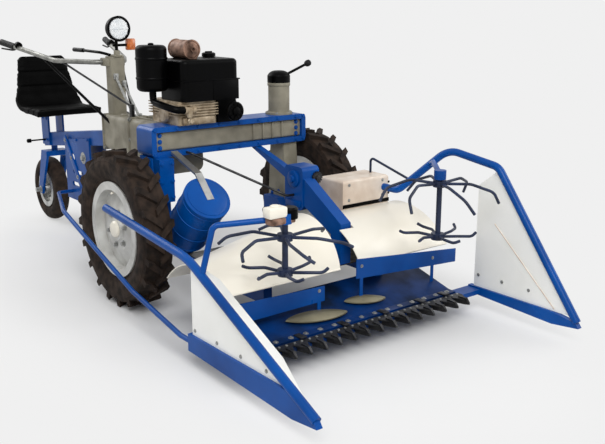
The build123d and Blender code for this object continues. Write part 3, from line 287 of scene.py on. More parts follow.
def turned(shape, base, axis, profile, sides=32):
    """Lathe-turned form from pairs of radius and height; a profile that ends where it starts is a ring."""
    axis, side, across = square_to(axis)
    ring_form = profile[0] == profile[-1]
    if not ring_form:
        profile = [(0, profile[0][1]), *profile, (0, profile[-1][1])]
    rings = []
    for radius, height in profile[:-1] if ring_form else profile:
        centre = Vector(base) + axis * height
        turns = [index * math.tau / sides for index in range(sides if radius else 1)]
        rings.append([
            shape.verts.new(centre + (side * math.cos(t) + across * math.sin(t)) * radius) for t in turns
        ])
    if ring_form:
        rings.append(rings[0])
    for low, high in zip(rings, rings[1:]):
        for index in range(sides):
            after = index + 1
            corners = [
                low[index % len(low)],
                low[after % len(low)],
                high[after % len(high)],
                high[index % len(high)],
            ]
            corners = list(dict.fromkeys(corners))
            if len(corners) > 2:
                shape.faces.new(corners)


def rounded(points, bend):
    """Path whose corners are eased into curves."""
    points = [Vector(point) for point in points]
    path = [points[0]]
    for before, corner, after in zip(points, points[1:], points[2:]):
        reach = min(bend, (corner - before).length / 2, (after - corner).length / 2)
        start = corner + (before - corner).normalized() * reach
        end = corner + (after - corner).normalized() * reach
        for share in (0, 0.2, 0.4, 0.6, 0.8, 1):
            path.append(start.lerp(corner, share).lerp(corner.lerp(end, share), share))
    return [*path, points[-1]]


def bar(shape, points, radius, bend=0, sides=12):
    """Round bar along a path, closed at both ends."""
    path = rounded(points, bend) if bend else [Vector(point) for point in points]
    axis, side, across = square_to(path[1] - path[0])
    rings = []
    for index, point in enumerate(path):
        before = path[max(index - 1, 0)]
        after = path[min(index + 1, len(path) - 1)]
        turn = axis.rotation_difference((after - before).normalized())
        axis, side, across = turn @ axis, turn @ side, turn @ across
        rings.append([
            shape.verts.new(point + (side * math.cos(t) + across * math.sin(t)) * radius)
            for t in [corner * math.tau / sides for corner in range(sides)]
        ])
    for low, high in zip(rings, rings[1:]):
        for index in range(sides):
            after = (index + 1) % sides
            shape.faces.new((low[index], low[after], high[after], high[index]))
    shape.faces.new(rings[0])
    shape.faces.new(rings[-1])


def slab(shape, low, high, ease=0, place=None):
    """Box between two corners with its edges eased, set in a place of its own if that is given."""
    corners = bmesh.ops.create_cube(shape, size=1)["verts"]
    for corner in corners:
        corner.co = Vector([low[k] if corner.co[k] < 0 else high[k] for k in range(3)])
        if place:
            corner.co = place @ corner.co
    if ease:
        edges = list({edge for corner in corners for edge in corner.link_edges})
        bmesh.ops.bevel(shape, geom=edges, offset=ease, segments=2, profile=0.5, affect="EDGES")


def mesh_from(name, shape):
    """Mesh in metres from a shape in millimetres, its faces outward and its sharp edges kept."""
    bmesh.ops.remove_doubles(shape, verts=shape.verts, dist=0.01)
    bmesh.ops.recalc_face_normals(shape, faces=shape.faces)
    shape.transform(Matrix.Scale(0.001, 4))
    mesh = bpy.data.meshes.new(name)
    shape.to_mesh(mesh)
    shape.free()
    mesh.polygons.foreach_set("use_smooth", [True] * len(mesh.polygons))
    mesh.set_sharp_from_angle(angle=math.radians(SHARP_ANGLE))
    return mesh


def settle(name, mesh, finish, body="chassis"):
    """One finished piece of the machine, tied to the body that carries it."""
    if finish:
        mesh.materials.clear()
        mesh.materials.append(finish)
    made = bpy.data.objects.new(name, mesh)
    scene.collection.objects.link(made)
    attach(made, body)
    return made


def fit(name, shape, finish, body="chassis"):
    """One piece straight from a shape."""
    return settle(name, mesh_from(name, shape), finish, body)


# Bolt heads and rivets, set out by a node group

# A head's top against its foot, then a washer's thickness in metres and its sides
HEAD_TAPER = 0.86
WASHER_THICK = 0.003
WASHER_SIDES = 18


def bolt_group():
    """Node group that sets one washered head on every point, turned the way the point faces."""
    group = bpy.data.node_groups.new("bolt heads", "GeometryNodeTree")
    sockets = (
        ("Points", "NodeSocketGeometry"),
        ("Sides", "NodeSocketInt"),
        ("Head radius", "NodeSocketFloat"),
        ("Head height", "NodeSocketFloat"),
        ("Washer radius", "NodeSocketFloat"),
        ("Finish", "NodeSocketMaterial"),
    )
    for label, kind in sockets:
        group.interface.new_socket(label, in_out="INPUT", socket_type=kind)
    group.interface.new_socket("Bolts", in_out="OUTPUT", socket_type="NodeSocketGeometry")
    given = add_node(group, "NodeGroupInput").outputs
    head = add_node(
        group,
        "GeometryNodeMeshCone",
        links={
            "Vertices": given["Sides"],
            "Radius Bottom": given["Head radius"],
            "Depth": given["Head height"],
        },
    )
    shoulder = add_node(
        group, "ShaderNodeMath", {1: HEAD_TAPER}, {0: given["Head radius"]}, operation="MULTIPLY"
    )
    group.links.new(shoulder.outputs["Value"], head.inputs["Radius Top"])
    washer = add_node(
        group,
        "GeometryNodeMeshCylinder",
        {"Vertices": WASHER_SIDES, "Depth": WASHER_THICK},
        {"Radius": given["Washer radius"]},
    )
    bolt = add_node(
        group,
        "GeometryNodeJoinGeometry",
        links={"Geometry": [head.outputs["Mesh"], washer.outputs["Mesh"]]},
    )
    way = add_node(group, "GeometryNodeInputNamedAttribute", {"Name": "facing"}, data_type="FLOAT_VECTOR")
    turn = add_node(
        group,
        "FunctionNodeAlignRotationToVector",
        links={"Vector": way.outputs["Attribute"]},
        axis="Z",
    )
    placed = add_node(
        group,
        "GeometryNodeInstanceOnPoints",
        links={
            "Points": given["Points"],
            "Instance": bolt.outputs["Geometry"],
            "Rotation": turn.outputs["Rotation"],
        },
    )
    whole = add_node(group, "GeometryNodeRealizeInstances", links={"Geometry": placed.outputs["Instances"]})
    painted = add_node(
        group,
        "GeometryNodeSetMaterial",
        links={"Geometry": whole.outputs["Geometry"], "Material": given["Finish"]},
    )
    add_node(group, "NodeGroupOutput", links={"Bolts": painted.outputs["Geometry"]})
    return group


BOLT_HEADS = bolt_group()


def bolts(name, spots, finish, body="chassis", sides=6, head=8, height=6, washer=12):
    """Bolt heads or rivets in one piece, each at a point in millimetres and facing its own way."""
    points = bpy.data.meshes.new(name)
    points.from_pydata([Vector(point) / 1000 for point, _ in spots], [], [])
    ways = points.attributes.new("facing", "FLOAT_VECTOR", "POINT")
    ways.data.foreach_set("vector", [number for _, way in spots for number in Vector(way).normalized()])
    holder = bpy.data.objects.new(name, points)
    scene.collection.objects.link(holder)
    pattern = holder.modifiers.new("bolt heads", "NODES")
    pattern.node_group = BOLT_HEADS
    settings = {
        "Sides": sides,
        "Head radius": head / 1000,
        "Head height": height / 1000,
        "Washer radius": washer / 1000,
        "Finish": finish,
    }
    for socket in BOLT_HEADS.interface.items_tree:
        if socket.name in settings:
            pattern[socket.identifier] = settings[socket.name]
    made = bpy.data.meshes.new_from_object(holder.evaluated_get(bpy.context.evaluated_depsgraph_get()))
    bpy.data.objects.remove(holder)
    return settle(name, made, None, body)


def ring_of(centre, axis, radius, count):
    """Spots evenly round a circle, all facing along its axis."""
    axis, side, across = square_to(axis)
    turns = [index * math.tau / count for index in range(count)]
    return [
        (Vector(centre) + (side * math.cos(t) + across * math.sin(t)) * radius, axis) for t in turns
    ]


# Engine: crankcase covers, starter, carburettor, intake pipe, tank seam and cap, exhaust rims

# Middle plane of the engine, the column, the drawbar and the seat
UNIT_X = -190
STARTER_X, STARTER_Z = -16, 909
CARBURETTOR_Y, CARBURETTOR_Z = -128, 930
CLEANER_X, CLEANER_Y = -358.3, 40
MUFFLER_Z = 1205.3

shape = bmesh.new()
slab(shape, (UNIT_X - 92, -112, 858), (UNIT_X + 84, -94, 890), 5)
turned(shape, (UNIT_X - 60, -112, 878), (0, -1, 0), [(17, 0), (17, 14), (12, 18), (12, 24)], 6)
turned(shape, (UNIT_X - 107, 30, 900), (-1, 0, 0), [(44, 0), (44, 14), (36, 20)])
fit("crankcase_covers", shape, engine_alloy)

shape = bmesh.new()
starter_profile = [(47, 0), (47, 10), (42, 16), (22, 16), (20, 22), (12, 26)]
turned(shape, (STARTER_X, -148, STARTER_Z), (0, -1, 0), starter_profile)
STARTER_VANES = 10
for vane in range(STARTER_VANES):
    spin = Matrix.Rotation(vane * math.tau / STARTER_VANES, 4, "Y")
    slab(shape, (25, -3, -3), (40, 1, 3), 1, Matrix.Translation((STARTER_X, -164, STARTER_Z)) @ spin)
slab(shape, (-120, -126, 966), (26, -122, 1060), 1)
fit("fan_cowl", shape, stove_black)

shape = bmesh.new()
intake_mouth = (UNIT_X - 96, CARBURETTOR_Y, CARBURETTOR_Z)
float_bowl = (UNIT_X - 66, CARBURETTOR_Y, CARBURETTOR_Z - 4)
turned(shape, intake_mouth, (1, 0, 0), [(19, 0), (19, 12), (14, 16), (14, 40), (20, 44), (20, 56)])
turned(shape, float_bowl, (0, 0, -1), [(16, 0), (16, 26), (11, 34), (5, 36), (5, 40)])
slab(shape, (UNIT_X - 50, -118, 912), (UNIT_X - 36, -96, 948), 2)
fit("carburettor", shape, engine_alloy)

shape = bmesh.new()
pipe_path = [
    intake_mouth,
    (-330, CARBURETTOR_Y, 934),
    (-358, -60, 950),
    (-358, CLEANER_Y, 960),
    (-358, CLEANER_Y, 1016),
]
bar(shape, pipe_path, 17, 40)
band_profile = [(75, 0), (77, 3), (77, 9), (75, 12), (75, 0)]
for height in (1068, 1160):
    turned(shape, (CLEANER_X, CLEANER_Y, height), (0, 0, 1), band_profile, 40)
turned(shape, (CLEANER_X, CLEANER_Y, 1228), (0, 0, 1), [(14, -2), (14, 6), (9, 10)], 20)
fit("intake_pipe", shape, stove_black)

shape = bmesh.new()
slab(shape, (-286.5, -126.5, 1060), (34.5, 118.5, 1066), 2)
turned(shape, (-40, 40, 1159), (0, 0, 1), [(30, 0), (30, 6), (34, 6), (34, 20), (28, 24)], 28)
slab(shape, (-60, 36, 1180), (-20, 44, 1190), 2)
fit("tank_seam_and_cap", shape, stove_black)

shape = bmesh.new()
for forward in (-56, 92):
    turned(
        shape,
        (UNIT_X, forward, MUFFLER_Z),
        (0, 1, 0),
        [(40, 0), (46, 0), (47.5, 3), (46, 6), (40, 6), (40, 0)],
        40,
    )
turned(shape, (UNIT_X, -54, MUFFLER_Z), (0, -1, 0), [(12, 0), (12, 16), (9, 16), (9, 4)], 20)
for y in (-40, 70):
    bar(shape, [(UNIT_X + 20, y, 1170), (UNIT_X + 20, y, 1155)], 14)
fit("exhaust_rims", shape, heat_brown)

# Steering head: clamp, lamp rim, levers, lamp flutes, side lamp and the post lever's knob

LAMP_Z = 1286
FLUTE_STEP = 15
FLUTE_REACH = 55
POST_X = 362

shape = bmesh.new()
slab(shape, (UNIT_X - 52, 760, 1082), (UNIT_X + 52, 862, 1126), 6)
slab(shape, (UNIT_X - 26, 730, 1134), (UNIT_X + 26, 800, 1146), 4)
turned(shape, (UNIT_X, 752, 1140), (0, 0, 1), [(17, 0), (17, 22), (12, 30)], 24)
fit("handlebar_clamp", shape, cast_paint)

shape = bmesh.new()
rim_profile = [(58, 0), (67, 0), (69, 6), (66, 12), (59, 12), (58, 0)]
turned(shape, (UNIT_X, 716, LAMP_Z), (0, -1, 0), rim_profile, 48)
slab(shape, (UNIT_X - 20, 744, 1190), (UNIT_X + 84, 764, 1204), 3)
bar(shape, [(UNIT_X - 20, 786, 1142), (UNIT_X - 70, 806, 1158), (UNIT_X - 84, 1010, 1162)], 8, 24)
bar(shape, [(UNIT_X - 84, 1000, 1162), (UNIT_X - 88, 1120, 1162)], 12)
for side in (-1, 1):
    pivot = Vector((UNIT_X + side * 296, 1440, 1172))
    bar(shape, [pivot, pivot + Vector((side * 6, 60, -24)), pivot + Vector((side * 34, 190, -16))], 5, 30)
    turned(shape, pivot + Vector((0, -10, 4)), (0, 0.97, 0.2), [(21, 0), (21, 22)], 24)
fit("lamp_rim_and_levers", shape, stove_black)

shape = bmesh.new()
for step in range(-3, 4):
    x = UNIT_X + step * FLUTE_STEP
    half = math.sqrt(FLUTE_REACH ** 2 - (step * FLUTE_STEP) ** 2)
    bar(shape, [(x, 710, LAMP_Z - half), (x, 710, LAMP_Z + half)], 2.4, sides=8)
bar(shape, [(UNIT_X - FLUTE_REACH, 709.5, LAMP_Z), (UNIT_X + FLUTE_REACH, 709.5, LAMP_Z)], 2.4, sides=8)
fit("lamp_flutes", shape, lamp_glass)

shape = bmesh.new()
slab(shape, (UNIT_X + 58, 738, 1168), (UNIT_X + 112, 768, 1232), 8)
fit("side_lamp", shape, amber_lens)

shape = bmesh.new()
lever_way = Vector((0.84, -0.3, 0.42))
lever_tip = Vector((POST_X, 0, 1037.7)) + lever_way.normalized() * 176
turned(shape, lever_tip, lever_way, [(9, -16), (15, -10), (18, 2), (15, 14), (8, 19)], 20)
fit("post_lever_knob", shape, grip_rubber)

# Link rods and their lugs between the handlebar, the column and the gearbox

shape = bmesh.new()
for x, high, rear in ((UNIT_X - 22, 1030, 530), (UNIT_X + 24, 990, 566)):
    bar(shape, [(x, 742, high + 6), (x, rear, 822)], 7)
    slab(shape, (x - 12, 722, high - 16), (x + 12, 740, high + 16), 3)
    slab(shape, (x - 12, rear - 14, 818), (x + 12, rear + 14, 840), 3)
fit("link_rods", shape, zinc_steel)

shape = bmesh.new()
bar(shape, [(-378, 1039, 1093), (-250, 481, 888)], 6)
slab(shape, (-260, 466, 822), (-241, 498, 902), 4)
fit("throttle_rod", shape, dark_steel)

# Castings: the gearbox's flanges, ribs and plug, the control post's collars and the beam's ribs

shape = bmesh.new()
for forward, half_wide, low, high in ((452, 104, 602, 838), (806, 84, 618, 822)):
    slab(shape, (UNIT_X - half_wide, forward, low), (UNIT_X + half_wide, forward + 14, high), 8)
for offset in (-52, 0, 52):
    slab(shape, (UNIT_X + offset - 4, 110, 832), (UNIT_X + offset + 4, 440, 842), 2)
turned(shape, (UNIT_X - 40, 620, 820), (0, 0, 1), [(20, 0), (20, 12), (15, 16)], 6)
fit("gearbox_flanges", shape, cast_paint)

shape = bmesh.new()
turned(shape, (POST_X, 0, 853), (0, 0, 1), [(72, 0), (72, 10), (60, 16)], 40)
turned(shape, (POST_X, 0, 1000), (0, 0, 1), [(58, 0), (60, 3), (60, 15), (58, 18)], 40)
for x in (150, 210, 270, 330):
    slab(shape, (x, -66, 740), (x + 8, -56, 822), 2)
fit("beam_casting_ribs", shape, cast_paint)

# Twine can: rolled beads and raised lid

can_foot = Vector((-330, -175, 350))
can_axis = Vector((0, -1, 1)).normalized()
bead_profile = [(107, -5), (110.5, -2), (110.5, 2), (107, 5), (107, -5)]
shape = bmesh.new()
for along in (12, 92, 188, 268):
    turned(shape, can_foot + can_axis * along, can_axis, bead_profile, 48)
turned(shape, can_foot + can_axis * 297, can_axis, [(96, -3), (96, 2), (88, 4), (30, 4)], 48)
fit("can_beads", shape, blue_enamel)

# Drive head above the right star wheel: gear case, clamp and end cap

STAR_Y = -1094

shape = bmesh.new()
slab(shape, (-508, STAR_Y - 26, 630), (-424, STAR_Y + 26, 672), 7)
turned(shape, (-466, STAR_Y, 670), (0, 0, 1), [(20, 0), (20, 6), (14, 9)], 24)
fit("star_gear_case", shape, cream_enamel)

shape = bmesh.new()
slab(shape, (-498, STAR_Y - 24, 602), (-384, STAR_Y + 24, 631), 6)
fit("star_clamp", shape, heat_brown)

shape = bmesh.new()
turned(shape, (-394, STAR_Y, 616), (0, 0, 1), [(28, 0), (30, 4), (30, 38), (24, 46)], 28)
fit("star_end_cap", shape, stove_black)

# Knotter: side cover, twine disc, bill hook and return spring

shape = bmesh.new()
turned(shape, (115, -450, 604), (-1, 0, 0), [(42, 0), (42, 6), (36, 10), (18, 10), (16, 18), (8, 20)], 36)
slab(shape, (108, -504, 470), (116, -396, 500), 3)
fit("knotter_side_cover", shape, blue_enamel)

DISC_X, DISC_Z = 199, 610
DISC_TEETH = 14
COIL_RADIUS = 8
COIL_POINTS = 64
shape = bmesh.new()
for tooth in range(DISC_TEETH):
    spin = Matrix.Rotation(tooth * math.tau / DISC_TEETH, 4, "Y")
    slab(shape, (24, -8, -3), (31, 0, 3), 1, Matrix.Translation((DISC_X, -521, DISC_Z)) @ spin)
turned(shape, (DISC_X, -520, DISC_Z), (0, -1, 0), [(26, 0), (26, 9), (12, 9), (10, 16), (5, 18)], 32)
bar(shape, [(DISC_X, -530, 572), (206, -556, 548), (200, -580, 520), (192, -586, 506)], 6, 16)
coil = [
    (200 + COIL_RADIUS * math.cos(step * 0.6), -530 + COIL_RADIUS * math.sin(step * 0.6), 474 + step * 1.1)
    for step in range(COIL_POINTS)
]
bar(shape, coil, 2.2, sides=8)
fit("knotter_gear", shape, dark_steel)

# Drive cover: dark lower edge, side band and hinge pins

shape = bmesh.new()
slab(shape, (300, -602, 454), (604, -597, 472), 1)
slab(shape, (599, -602, 454), (604, -418, 472), 1)
slab(shape, (599.5, -596, 476), (602, -424, 576), 1)
for height in (496, 552):
    bar(shape, [(602, -600, height), (602, -560, height)], 6)
fit("cover_trim", shape, stove_black)

# Hoods: rolled front edges

shape = bmesh.new()
for right, left in ((-600, -15), (100, 655)):
    bar(shape, [(right, -950, 300), (left, -950, 300)], 5)
fit("hood_rolled_edges", shape, cream_enamel)

# Left divider: the seam pressed into its panel, drawn in the darker beige enamel as painted shade along the
# fold

shape = bmesh.new()
for face in (713.5, 719.2):
    bar(shape, [(face, -1190, 436), (face, -1542, 122)], 2.5)
fit("panel_seam_painted_shade", shape, cover_enamel)

# Header: lifting blades that lie on the deck, knife clips, rivets and finger bolts

DECK_FRONT_Y, DECK_FRONT_Z = -1056, 124
# Height that the deck gains for each millimetre towards the rear
DECK_RISE = 0.2734
BLADE_SIDES = 40
KNIFE_PITCH = 76.2

shape = bmesh.new()
blade_turns = [index * math.tau / BLADE_SIDES for index in range(BLADE_SIDES)]
for x, y, spin, half_length, half_width in ((-185, -1003, -9, 152, 40), (104, -984, -14, 106, 32)):
    foot = Matrix.Translation((x, y, DECK_FRONT_Z + (y - DECK_FRONT_Y) * DECK_RISE))
    tilt = Matrix.Rotation(math.atan(DECK_RISE), 4, "X")
    place = foot @ tilt @ Matrix.Rotation(math.radians(spin), 4, "Z")
    rings = []
    for share in (1, 0.97, 0.8, 0.5, 0.2):
        rings.append([
            shape.verts.new(place @ Vector((
                math.cos(t) * half_length * share,
                math.sin(t) * half_width * share * abs(math.sin(t)) ** 0.5,
                0 if share == 1 else 4 + 14 * (1 - share ** 2),
            )))
            for t in blade_turns
        ])
    for low, high in zip(rings, rings[1:]):
        for index in range(BLADE_SIDES):
            after = (index + 1) % BLADE_SIDES
            shape.faces.new((low[index], low[after], high[after], high[index]))
    shape.faces.new(rings[0])
    shape.faces.new(rings[-1])
fit("lifting_blades", shape, straw_steel)

shape = bmesh.new()
for x in (-571.5, -342.9, -114.3, 114.3, 342.9, 495.3):
    slab(shape, (x - 16, -1118, 115.8), (x + 16, -1088, 120), 1.5)
    slab(shape, (x - 16, -1098, 113), (x + 16, -1064, 118), 1.5)
fit("knife_clips", shape, dark_steel)

finger_x = [-38.1 + (index - 7.5) * KNIFE_PITCH for index in range(16)]
rivets = [((x + offset, -1126, 111.5), (0, 0, 1)) for x in finger_x for offset in (-18, 18)]
bolts("knife_rivets", rivets, zinc_steel, "knife_body", 10, 5, 3.6, 6)
bolts("finger_bolts", [((x, -1078, 114), (0, 0, 1)) for x in finger_x], zinc_steel, head=7)

# Wheels: hub nuts, sidewall ribs, hub caps with the valves, and the rear wheel's nuts

AXLE_Z = 378
HALF_TRACK = 562
REAR_Y, REAR_Z = 1850, 212

for side, name in ((-1, "right"), (1, "left")):
    body = f"wheel_{name}"
    out = (side, 0, 0)
    bolts(
        f"hub_nuts_{name}",
        ring_of((side * 597, 0, AXLE_Z), out, 84, 6),
        zinc_steel,
        body,
        head=11,
        height=16,
        washer=16,
    )
    shape = bmesh.new()
    for face in (-1, 1):
        for radius, offset in ((252, 63), (302, 74), (330, 72)):
            turned(
                shape,
                (side * HALF_TRACK + face * (offset - 3), 0, AXLE_Z),
                (face, 0, 0),
                [(radius - 5, 0), (radius - 2, 4.5), (radius + 2, 4.5), (radius + 5, 0), (radius - 5, 0)],
                72,
            )
    fit(f"sidewall_ribs_{name}", shape, tyre_rubber, body)
    shape = bmesh.new()
    turned(shape, (side * 606, 0, AXLE_Z), out, [(40, 0), (40, 8), (34, 16), (16, 20)], 32)
    bar(shape, [(side * 585, 0, 568), (side * 622, 0, 552)], 5)
    fit(f"hub_cap_{name}", shape, cream_enamel, body)

rear_nuts = []
for face in (-1, 1):
    rear_nuts += ring_of((UNIT_X + face * 5, REAR_Y, REAR_Z), (face, 0, 0), 66, 5)
bolts(
    "rear_hub_nuts",
    rear_nuts,
    zinc_steel,
    "rear_wheel",
    head=9,
    height=14,
    washer=14,
)
bolts(
    "rear_axle_nuts",
    [((UNIT_X + face * 75, REAR_Y, REAR_Z), (face, 0, 0)) for face in (-1, 1)],
    zinc_steel,
    "rear_fork_body",
    head=17,
    height=34,
    washer=24,
)

# Seat: a padded one-piece cushion with sewn channels across its pan and back

BLOW_FORCE = 4
BLOW_STEPS = 20
# Each line: 1 for y or 2 for z, its place, and the span of the other of the two that it lies in
SEWN_LINES = ((1, 1.53, 0.7, 0.82), (1, 1.62, 0.7, 0.82), (2, 0.9, 1.7, 1.9), (2, 0.99, 1.7, 1.9))


def cushion(name, node, voxel, inset, cap):
    """Padded form of a soft node: drawn in a little, then blown up as cloth up to a cap, in metres."""
    form = bmesh.new()
    form.from_mesh(nodes[node].data)
    bmesh.ops.remove_doubles(form, verts=form.verts, dist=0.0001)
    mesh = bpy.data.meshes.new(name)
    form.to_mesh(mesh)
    form.free()
    holder = bpy.data.objects.new(name, mesh)
    scene.collection.objects.link(holder)
    weave = holder.modifiers.new("even weave", "REMESH")
    weave.mode = "VOXEL"
    weave.voxel_size = voxel
    even = bpy.data.meshes.new_from_object(holder.evaluated_get(bpy.context.evaluated_depsgraph_get()))
    holder.modifiers.clear()
    for vertex in even.vertices:
        vertex.co -= vertex.normal * inset
    holder.data = even
    starts = [vertex.co.copy() for vertex in even.vertices]
    stuffing = holder.modifiers.new("stuffing", "CLOTH")
    stuffing.settings.use_pressure = True
    stuffing.settings.uniform_pressure_force = BLOW_FORCE
    stuffing.settings.effector_weights.gravity = 0
    for step in range(1, BLOW_STEPS + 1):
        scene.frame_set(step)
    blown = bpy.data.meshes.new_from_object(holder.evaluated_get(bpy.context.evaluated_depsgraph_get()))
    scene.frame_set(1)
    for vertex, start in zip(blown.vertices, starts):
        move = vertex.co - start
        vertex.co = start + move * min(1, cap / max(move.length, 1e-9))
    even = blown
    bpy.data.objects.remove(holder)
    even.polygons.foreach_set("use_smooth", [True] * len(even.polygons))
    return even


def sew(mesh, lines, half_width, depth):
    """Sewn channels drawn into a cushion along lines of equal y or z, in metres."""
    ways = [vertex.normal.copy() for vertex in mesh.vertices]
    for vertex, way in zip(mesh.vertices, ways):
        for axis, place, rest_low, rest_high in lines:
            off = abs(vertex.co[axis] - place)
            if off < half_width and rest_low < vertex.co[3 - axis] < rest_high:
                vertex.co -= way * depth * (0.5 + 0.5 * math.cos(math.pi * off / half_width))
    return mesh


seat_form = cushion("seat_cushion", "seat", voxel=0.006, inset=0.005, cap=0.009)
seat_form = sew(seat_form, SEWN_LINES, half_width=0.014, depth=0.005)
seat_pad = settle("seat_cushion", seat_form, seat_vinyl)
smooth = seat_pad.modifiers.new("smooth", "SUBSURF")
smooth.levels = smooth.render_levels = 1
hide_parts("seat")

# Rear bracket: a flat brace bolted across each cheek

# From the middle plane to the outside of the bracket's cheeks and of the seat post's bars
BRACKET_FACE = 54.3
brace_low, brace_high = Vector((0, 1160, 266)), Vector((0, 1418, 602))
brace_run = brace_high - brace_low
brace_tilt = math.atan2(brace_run.z, brace_run.y)
shape = bmesh.new()
for side in (-1, 1):
    middle = (brace_low + brace_high) / 2 + Vector((UNIT_X + side * (BRACKET_FACE + 4), 0, 0))
    place = Matrix.Translation(middle) @ Matrix.Rotation(brace_tilt, 4, "X")
    reach = brace_run.length / 2 + 18
    slab(shape, (-4.5, -reach, -21), (4.5, reach, 21), 2, place)
fit("bracket_braces", shape, blue_enamel)

# Bolts of the frame, the castings, the bracket and the panels

# Front faces of the beam's rails and housing, the drive box, the drive cover and the hoods
RAIL_FRONT = -76
HOUSING_FRONT = -58
DRIVE_BOX_FRONT = -128
COVER_FRONT = -598
HOOD_FRONT = -974
# From the middle of the machine to a leg's two faces
LEG_INSIDE, LEG_OUTSIDE = 345, 435

frame_bolts = []
for x in (-420, -300, -180, -60, 60, 180, 300, 420, 466):
    frame_bolts += [((x, RAIL_FRONT, height), (0, -1, 0)) for height in (721, 840)]
for x in (-385, 430):
    frame_bolts += [((x, HOUSING_FRONT, height), (0, -1, 0)) for height in (750, 780, 811)]
for height in (522, 600, 686):
    frame_bolts += [((x, DRIVE_BOX_FRONT, height), (0, -1, 0)) for x in (-418, -362)]
for y, height in ((1100, 634), (1260, 614), (1720, 560), (1780, 552), (1720, 700), (1780, 700)):
    frame_bolts += [((UNIT_X + side * BRACKET_FACE, y, height), (side, 0, 0)) for side in (-1, 1)]
for side in (-1, 1):
    frame_bolts += ring_of((side * LEG_INSIDE, 0, AXLE_Z), (-side, 0, 0), 62, 6)
    frame_bolts += ring_of((side * LEG_OUTSIDE, 0, AXLE_Z), (side, 0, 0), 62, 6)
bolts("frame_bolts", frame_bolts, blue_enamel)

case_bolts = []
for forward, half_wide, low, high in ((452, 92, 614, 826), (806, 72, 630, 810)):
    for height in (low, (low + high) / 2, high):
        case_bolts += [((UNIT_X + side * half_wide, forward, height), (0, -1, 0)) for side in (-1, 1)]
for share in (0.02, 0.36, 0.68, 0.98):
    spot = brace_low.lerp(brace_high, share)
    case_bolts += [
        ((UNIT_X + side * (BRACKET_FACE + 8), spot.y, spot.z), (side, 0, 0)) for side in (-1, 1)
    ]
bolts("case_bolts", case_bolts, zinc_steel)

pivots = [((UNIT_X + side * BRACKET_FACE, 1170, 516), (side, 0, 0)) for side in (-1, 1)]
bolts("pivot_bolts", pivots, zinc_steel, head=19, height=14, washer=36)

small_bolts = []
for x in (340, 560):
    small_bolts += [((x, COVER_FRONT, height), (0, -1, 0)) for height in (566, 492)]
for x, height in ((-560, 236), (-150, 236), (90, 300), (540, 254)):
    small_bolts.append(((x, HOOD_FRONT, height), (0, -1, 0)))
# Both faces of the left divider's panel, then the outer face of the right one
for face, way in ((718, 1), (714, -1)):
    small_bolts += [((face, y, 170), (way, 0, 0)) for y in (-1110, -1250, -1400)]
small_bolts += [((-718, y, 172), (-1, 0, 0)) for y in (-900, -1060, -1220, -1380)]
small_bolts += ring_of((POST_X, 0, 863), (0, 0, 1), 65, 6)
bolts("panel_bolts", small_bolts, zinc_steel, head=5, height=5, washer=8)

# Floor, light and camera: white floor paper that runs out into an even pale backdrop

BACKDROP = "#f0f0f0"
# Metres from the machine's middle at which the paper starts to fade and is gone
FADE_START, FADE_END = 0.7, 1.3
# The machine is longer than wide, so its length counts for less
FADE_SQUEEZE = 0.55
FLOOR_SIZE = 60
FLOOR_DROP = 0.001
SKY_STRENGTH = 0.36


def in_sight(tree):
    """Output that is one where the camera sees a surface, straight or in gloss or glass."""
    path = add_node(tree, "ShaderNodeLightPath").outputs
    seen = path["Is Camera Ray"]
    for other in ("Is Glossy Ray", "Is Transmission Ray"):
        either = add_node(tree, "ShaderNodeMath", links={0: seen, 1: path[other]}, operation="MAXIMUM")
        seen = either.outputs["Value"]
    return seen


floor_paper = finish_material("matt floor paper", "#e8e8e8", roughness=0.95, specular=0.0)
tree = floor_paper.node_tree
place = add_node(tree, "ShaderNodeTexCoord")
stretched = add_node(
    tree, "ShaderNodeMapping", {"Scale": (1, FADE_SQUEEZE, 1)}, {"Vector": place.outputs["Object"]}
)
away = add_node(tree, "ShaderNodeVectorMath", links={0: stretched.outputs["Vector"]}, operation="LENGTH")
fade = add_node(
    tree,
    "ShaderNodeMapRange",
    {"From Min": FADE_START, "From Max": FADE_END},
    {"Value": away.outputs["Value"]},
    interpolation_type="SMOOTHSTEP",
)
seen = add_node(
    tree,
    "ShaderNodeMath",
    links={0: fade.outputs["Result"], 1: in_sight(tree)},
    operation="MULTIPLY",
)
paper_glow = add_node(tree, "ShaderNodeEmission", {"Color": linear(BACKDROP)})
paper_mix = add_node(
    tree,
    "ShaderNodeMixShader",
    links={
        "Fac": seen.outputs["Value"],
        1: tree.nodes["Principled BSDF"].outputs["BSDF"],
        2: paper_glow.outputs["Emission"],
    },
)
tree.links.new(paper_mix.outputs["Shader"], tree.nodes["Material Output"].inputs["Surface"])
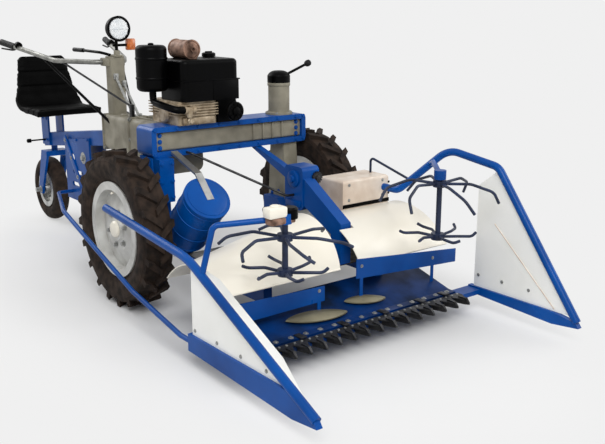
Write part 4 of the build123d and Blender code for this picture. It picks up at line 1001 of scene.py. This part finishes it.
bpy.ops.mesh.primitive_plane_add(size=FLOOR_SIZE, location=(0, 0, -FLOOR_DROP))
floor = bpy.context.object
floor.name = "floor"
floor.data.materials.append(floor_paper)

world = bpy.data.worlds.new("soft studio")
scene.world = world
world.use_nodes = True
sky = world.node_tree
soft_light = sky.nodes["Background"]
soft_light.inputs["Color"].default_value = linear("#ffffff")
soft_light.inputs["Strength"].default_value = SKY_STRENGTH
far_wall = add_node(sky, "ShaderNodeBackground", {"Color": linear(BACKDROP), "Strength": 1.0})
sky_mix = add_node(
    sky,
    "ShaderNodeMixShader",
    links={
        "Fac": in_sight(sky),
        1: soft_light.outputs["Background"],
        2: far_wall.outputs["Background"],
    },
)
sky.links.new(sky_mix.outputs["Shader"], sky.nodes["World Output"].inputs["Surface"])


def soft_lamp(name, place, aim, size, watts):
    """One large square lamp turned to a point."""
    lamp = bpy.data.lights.new(name, "AREA")
    lamp.energy = watts
    lamp.size = size
    stand = bpy.data.objects.new(name, lamp)
    scene.collection.objects.link(stand)
    stand.location = place
    stand.rotation_euler = (Vector(aim) - Vector(place)).to_track_quat("-Z", "Y").to_euler()


soft_lamp("key", (-2.6, -4.2, 4.6), (0, -0.2, 0.4), 3.2, 262)
soft_lamp("fill", (4.2, -2.6, 3.0), (0, -0.4, 0.5), 3.5, 95)
soft_lamp("back", (-1.5, 4.5, 3.8), (0, 0.4, 0.6), 3.0, 110)

IMAGE_WIDTH = 605
FOCAL_PIXELS = 842.526
SENSOR_MM = 36.0
# Degrees that the camera looks down, and that it is turned towards the machine's left
EYE_DOWN = 14.457
EYE_TURN = 38.012
lens_glass = bpy.data.cameras.new("photo view")
lens_glass.sensor_width = SENSOR_MM
lens_glass.lens = FOCAL_PIXELS / IMAGE_WIDTH * SENSOR_MM
eye = bpy.data.objects.new("photo view", lens_glass)
scene.collection.objects.link(eye)
eye.location = (-2.294, -3.601, 1.412)
eye.rotation_euler = (math.radians(90 - EYE_DOWN), 0, math.radians(-EYE_TURN))
scene.camera = eye
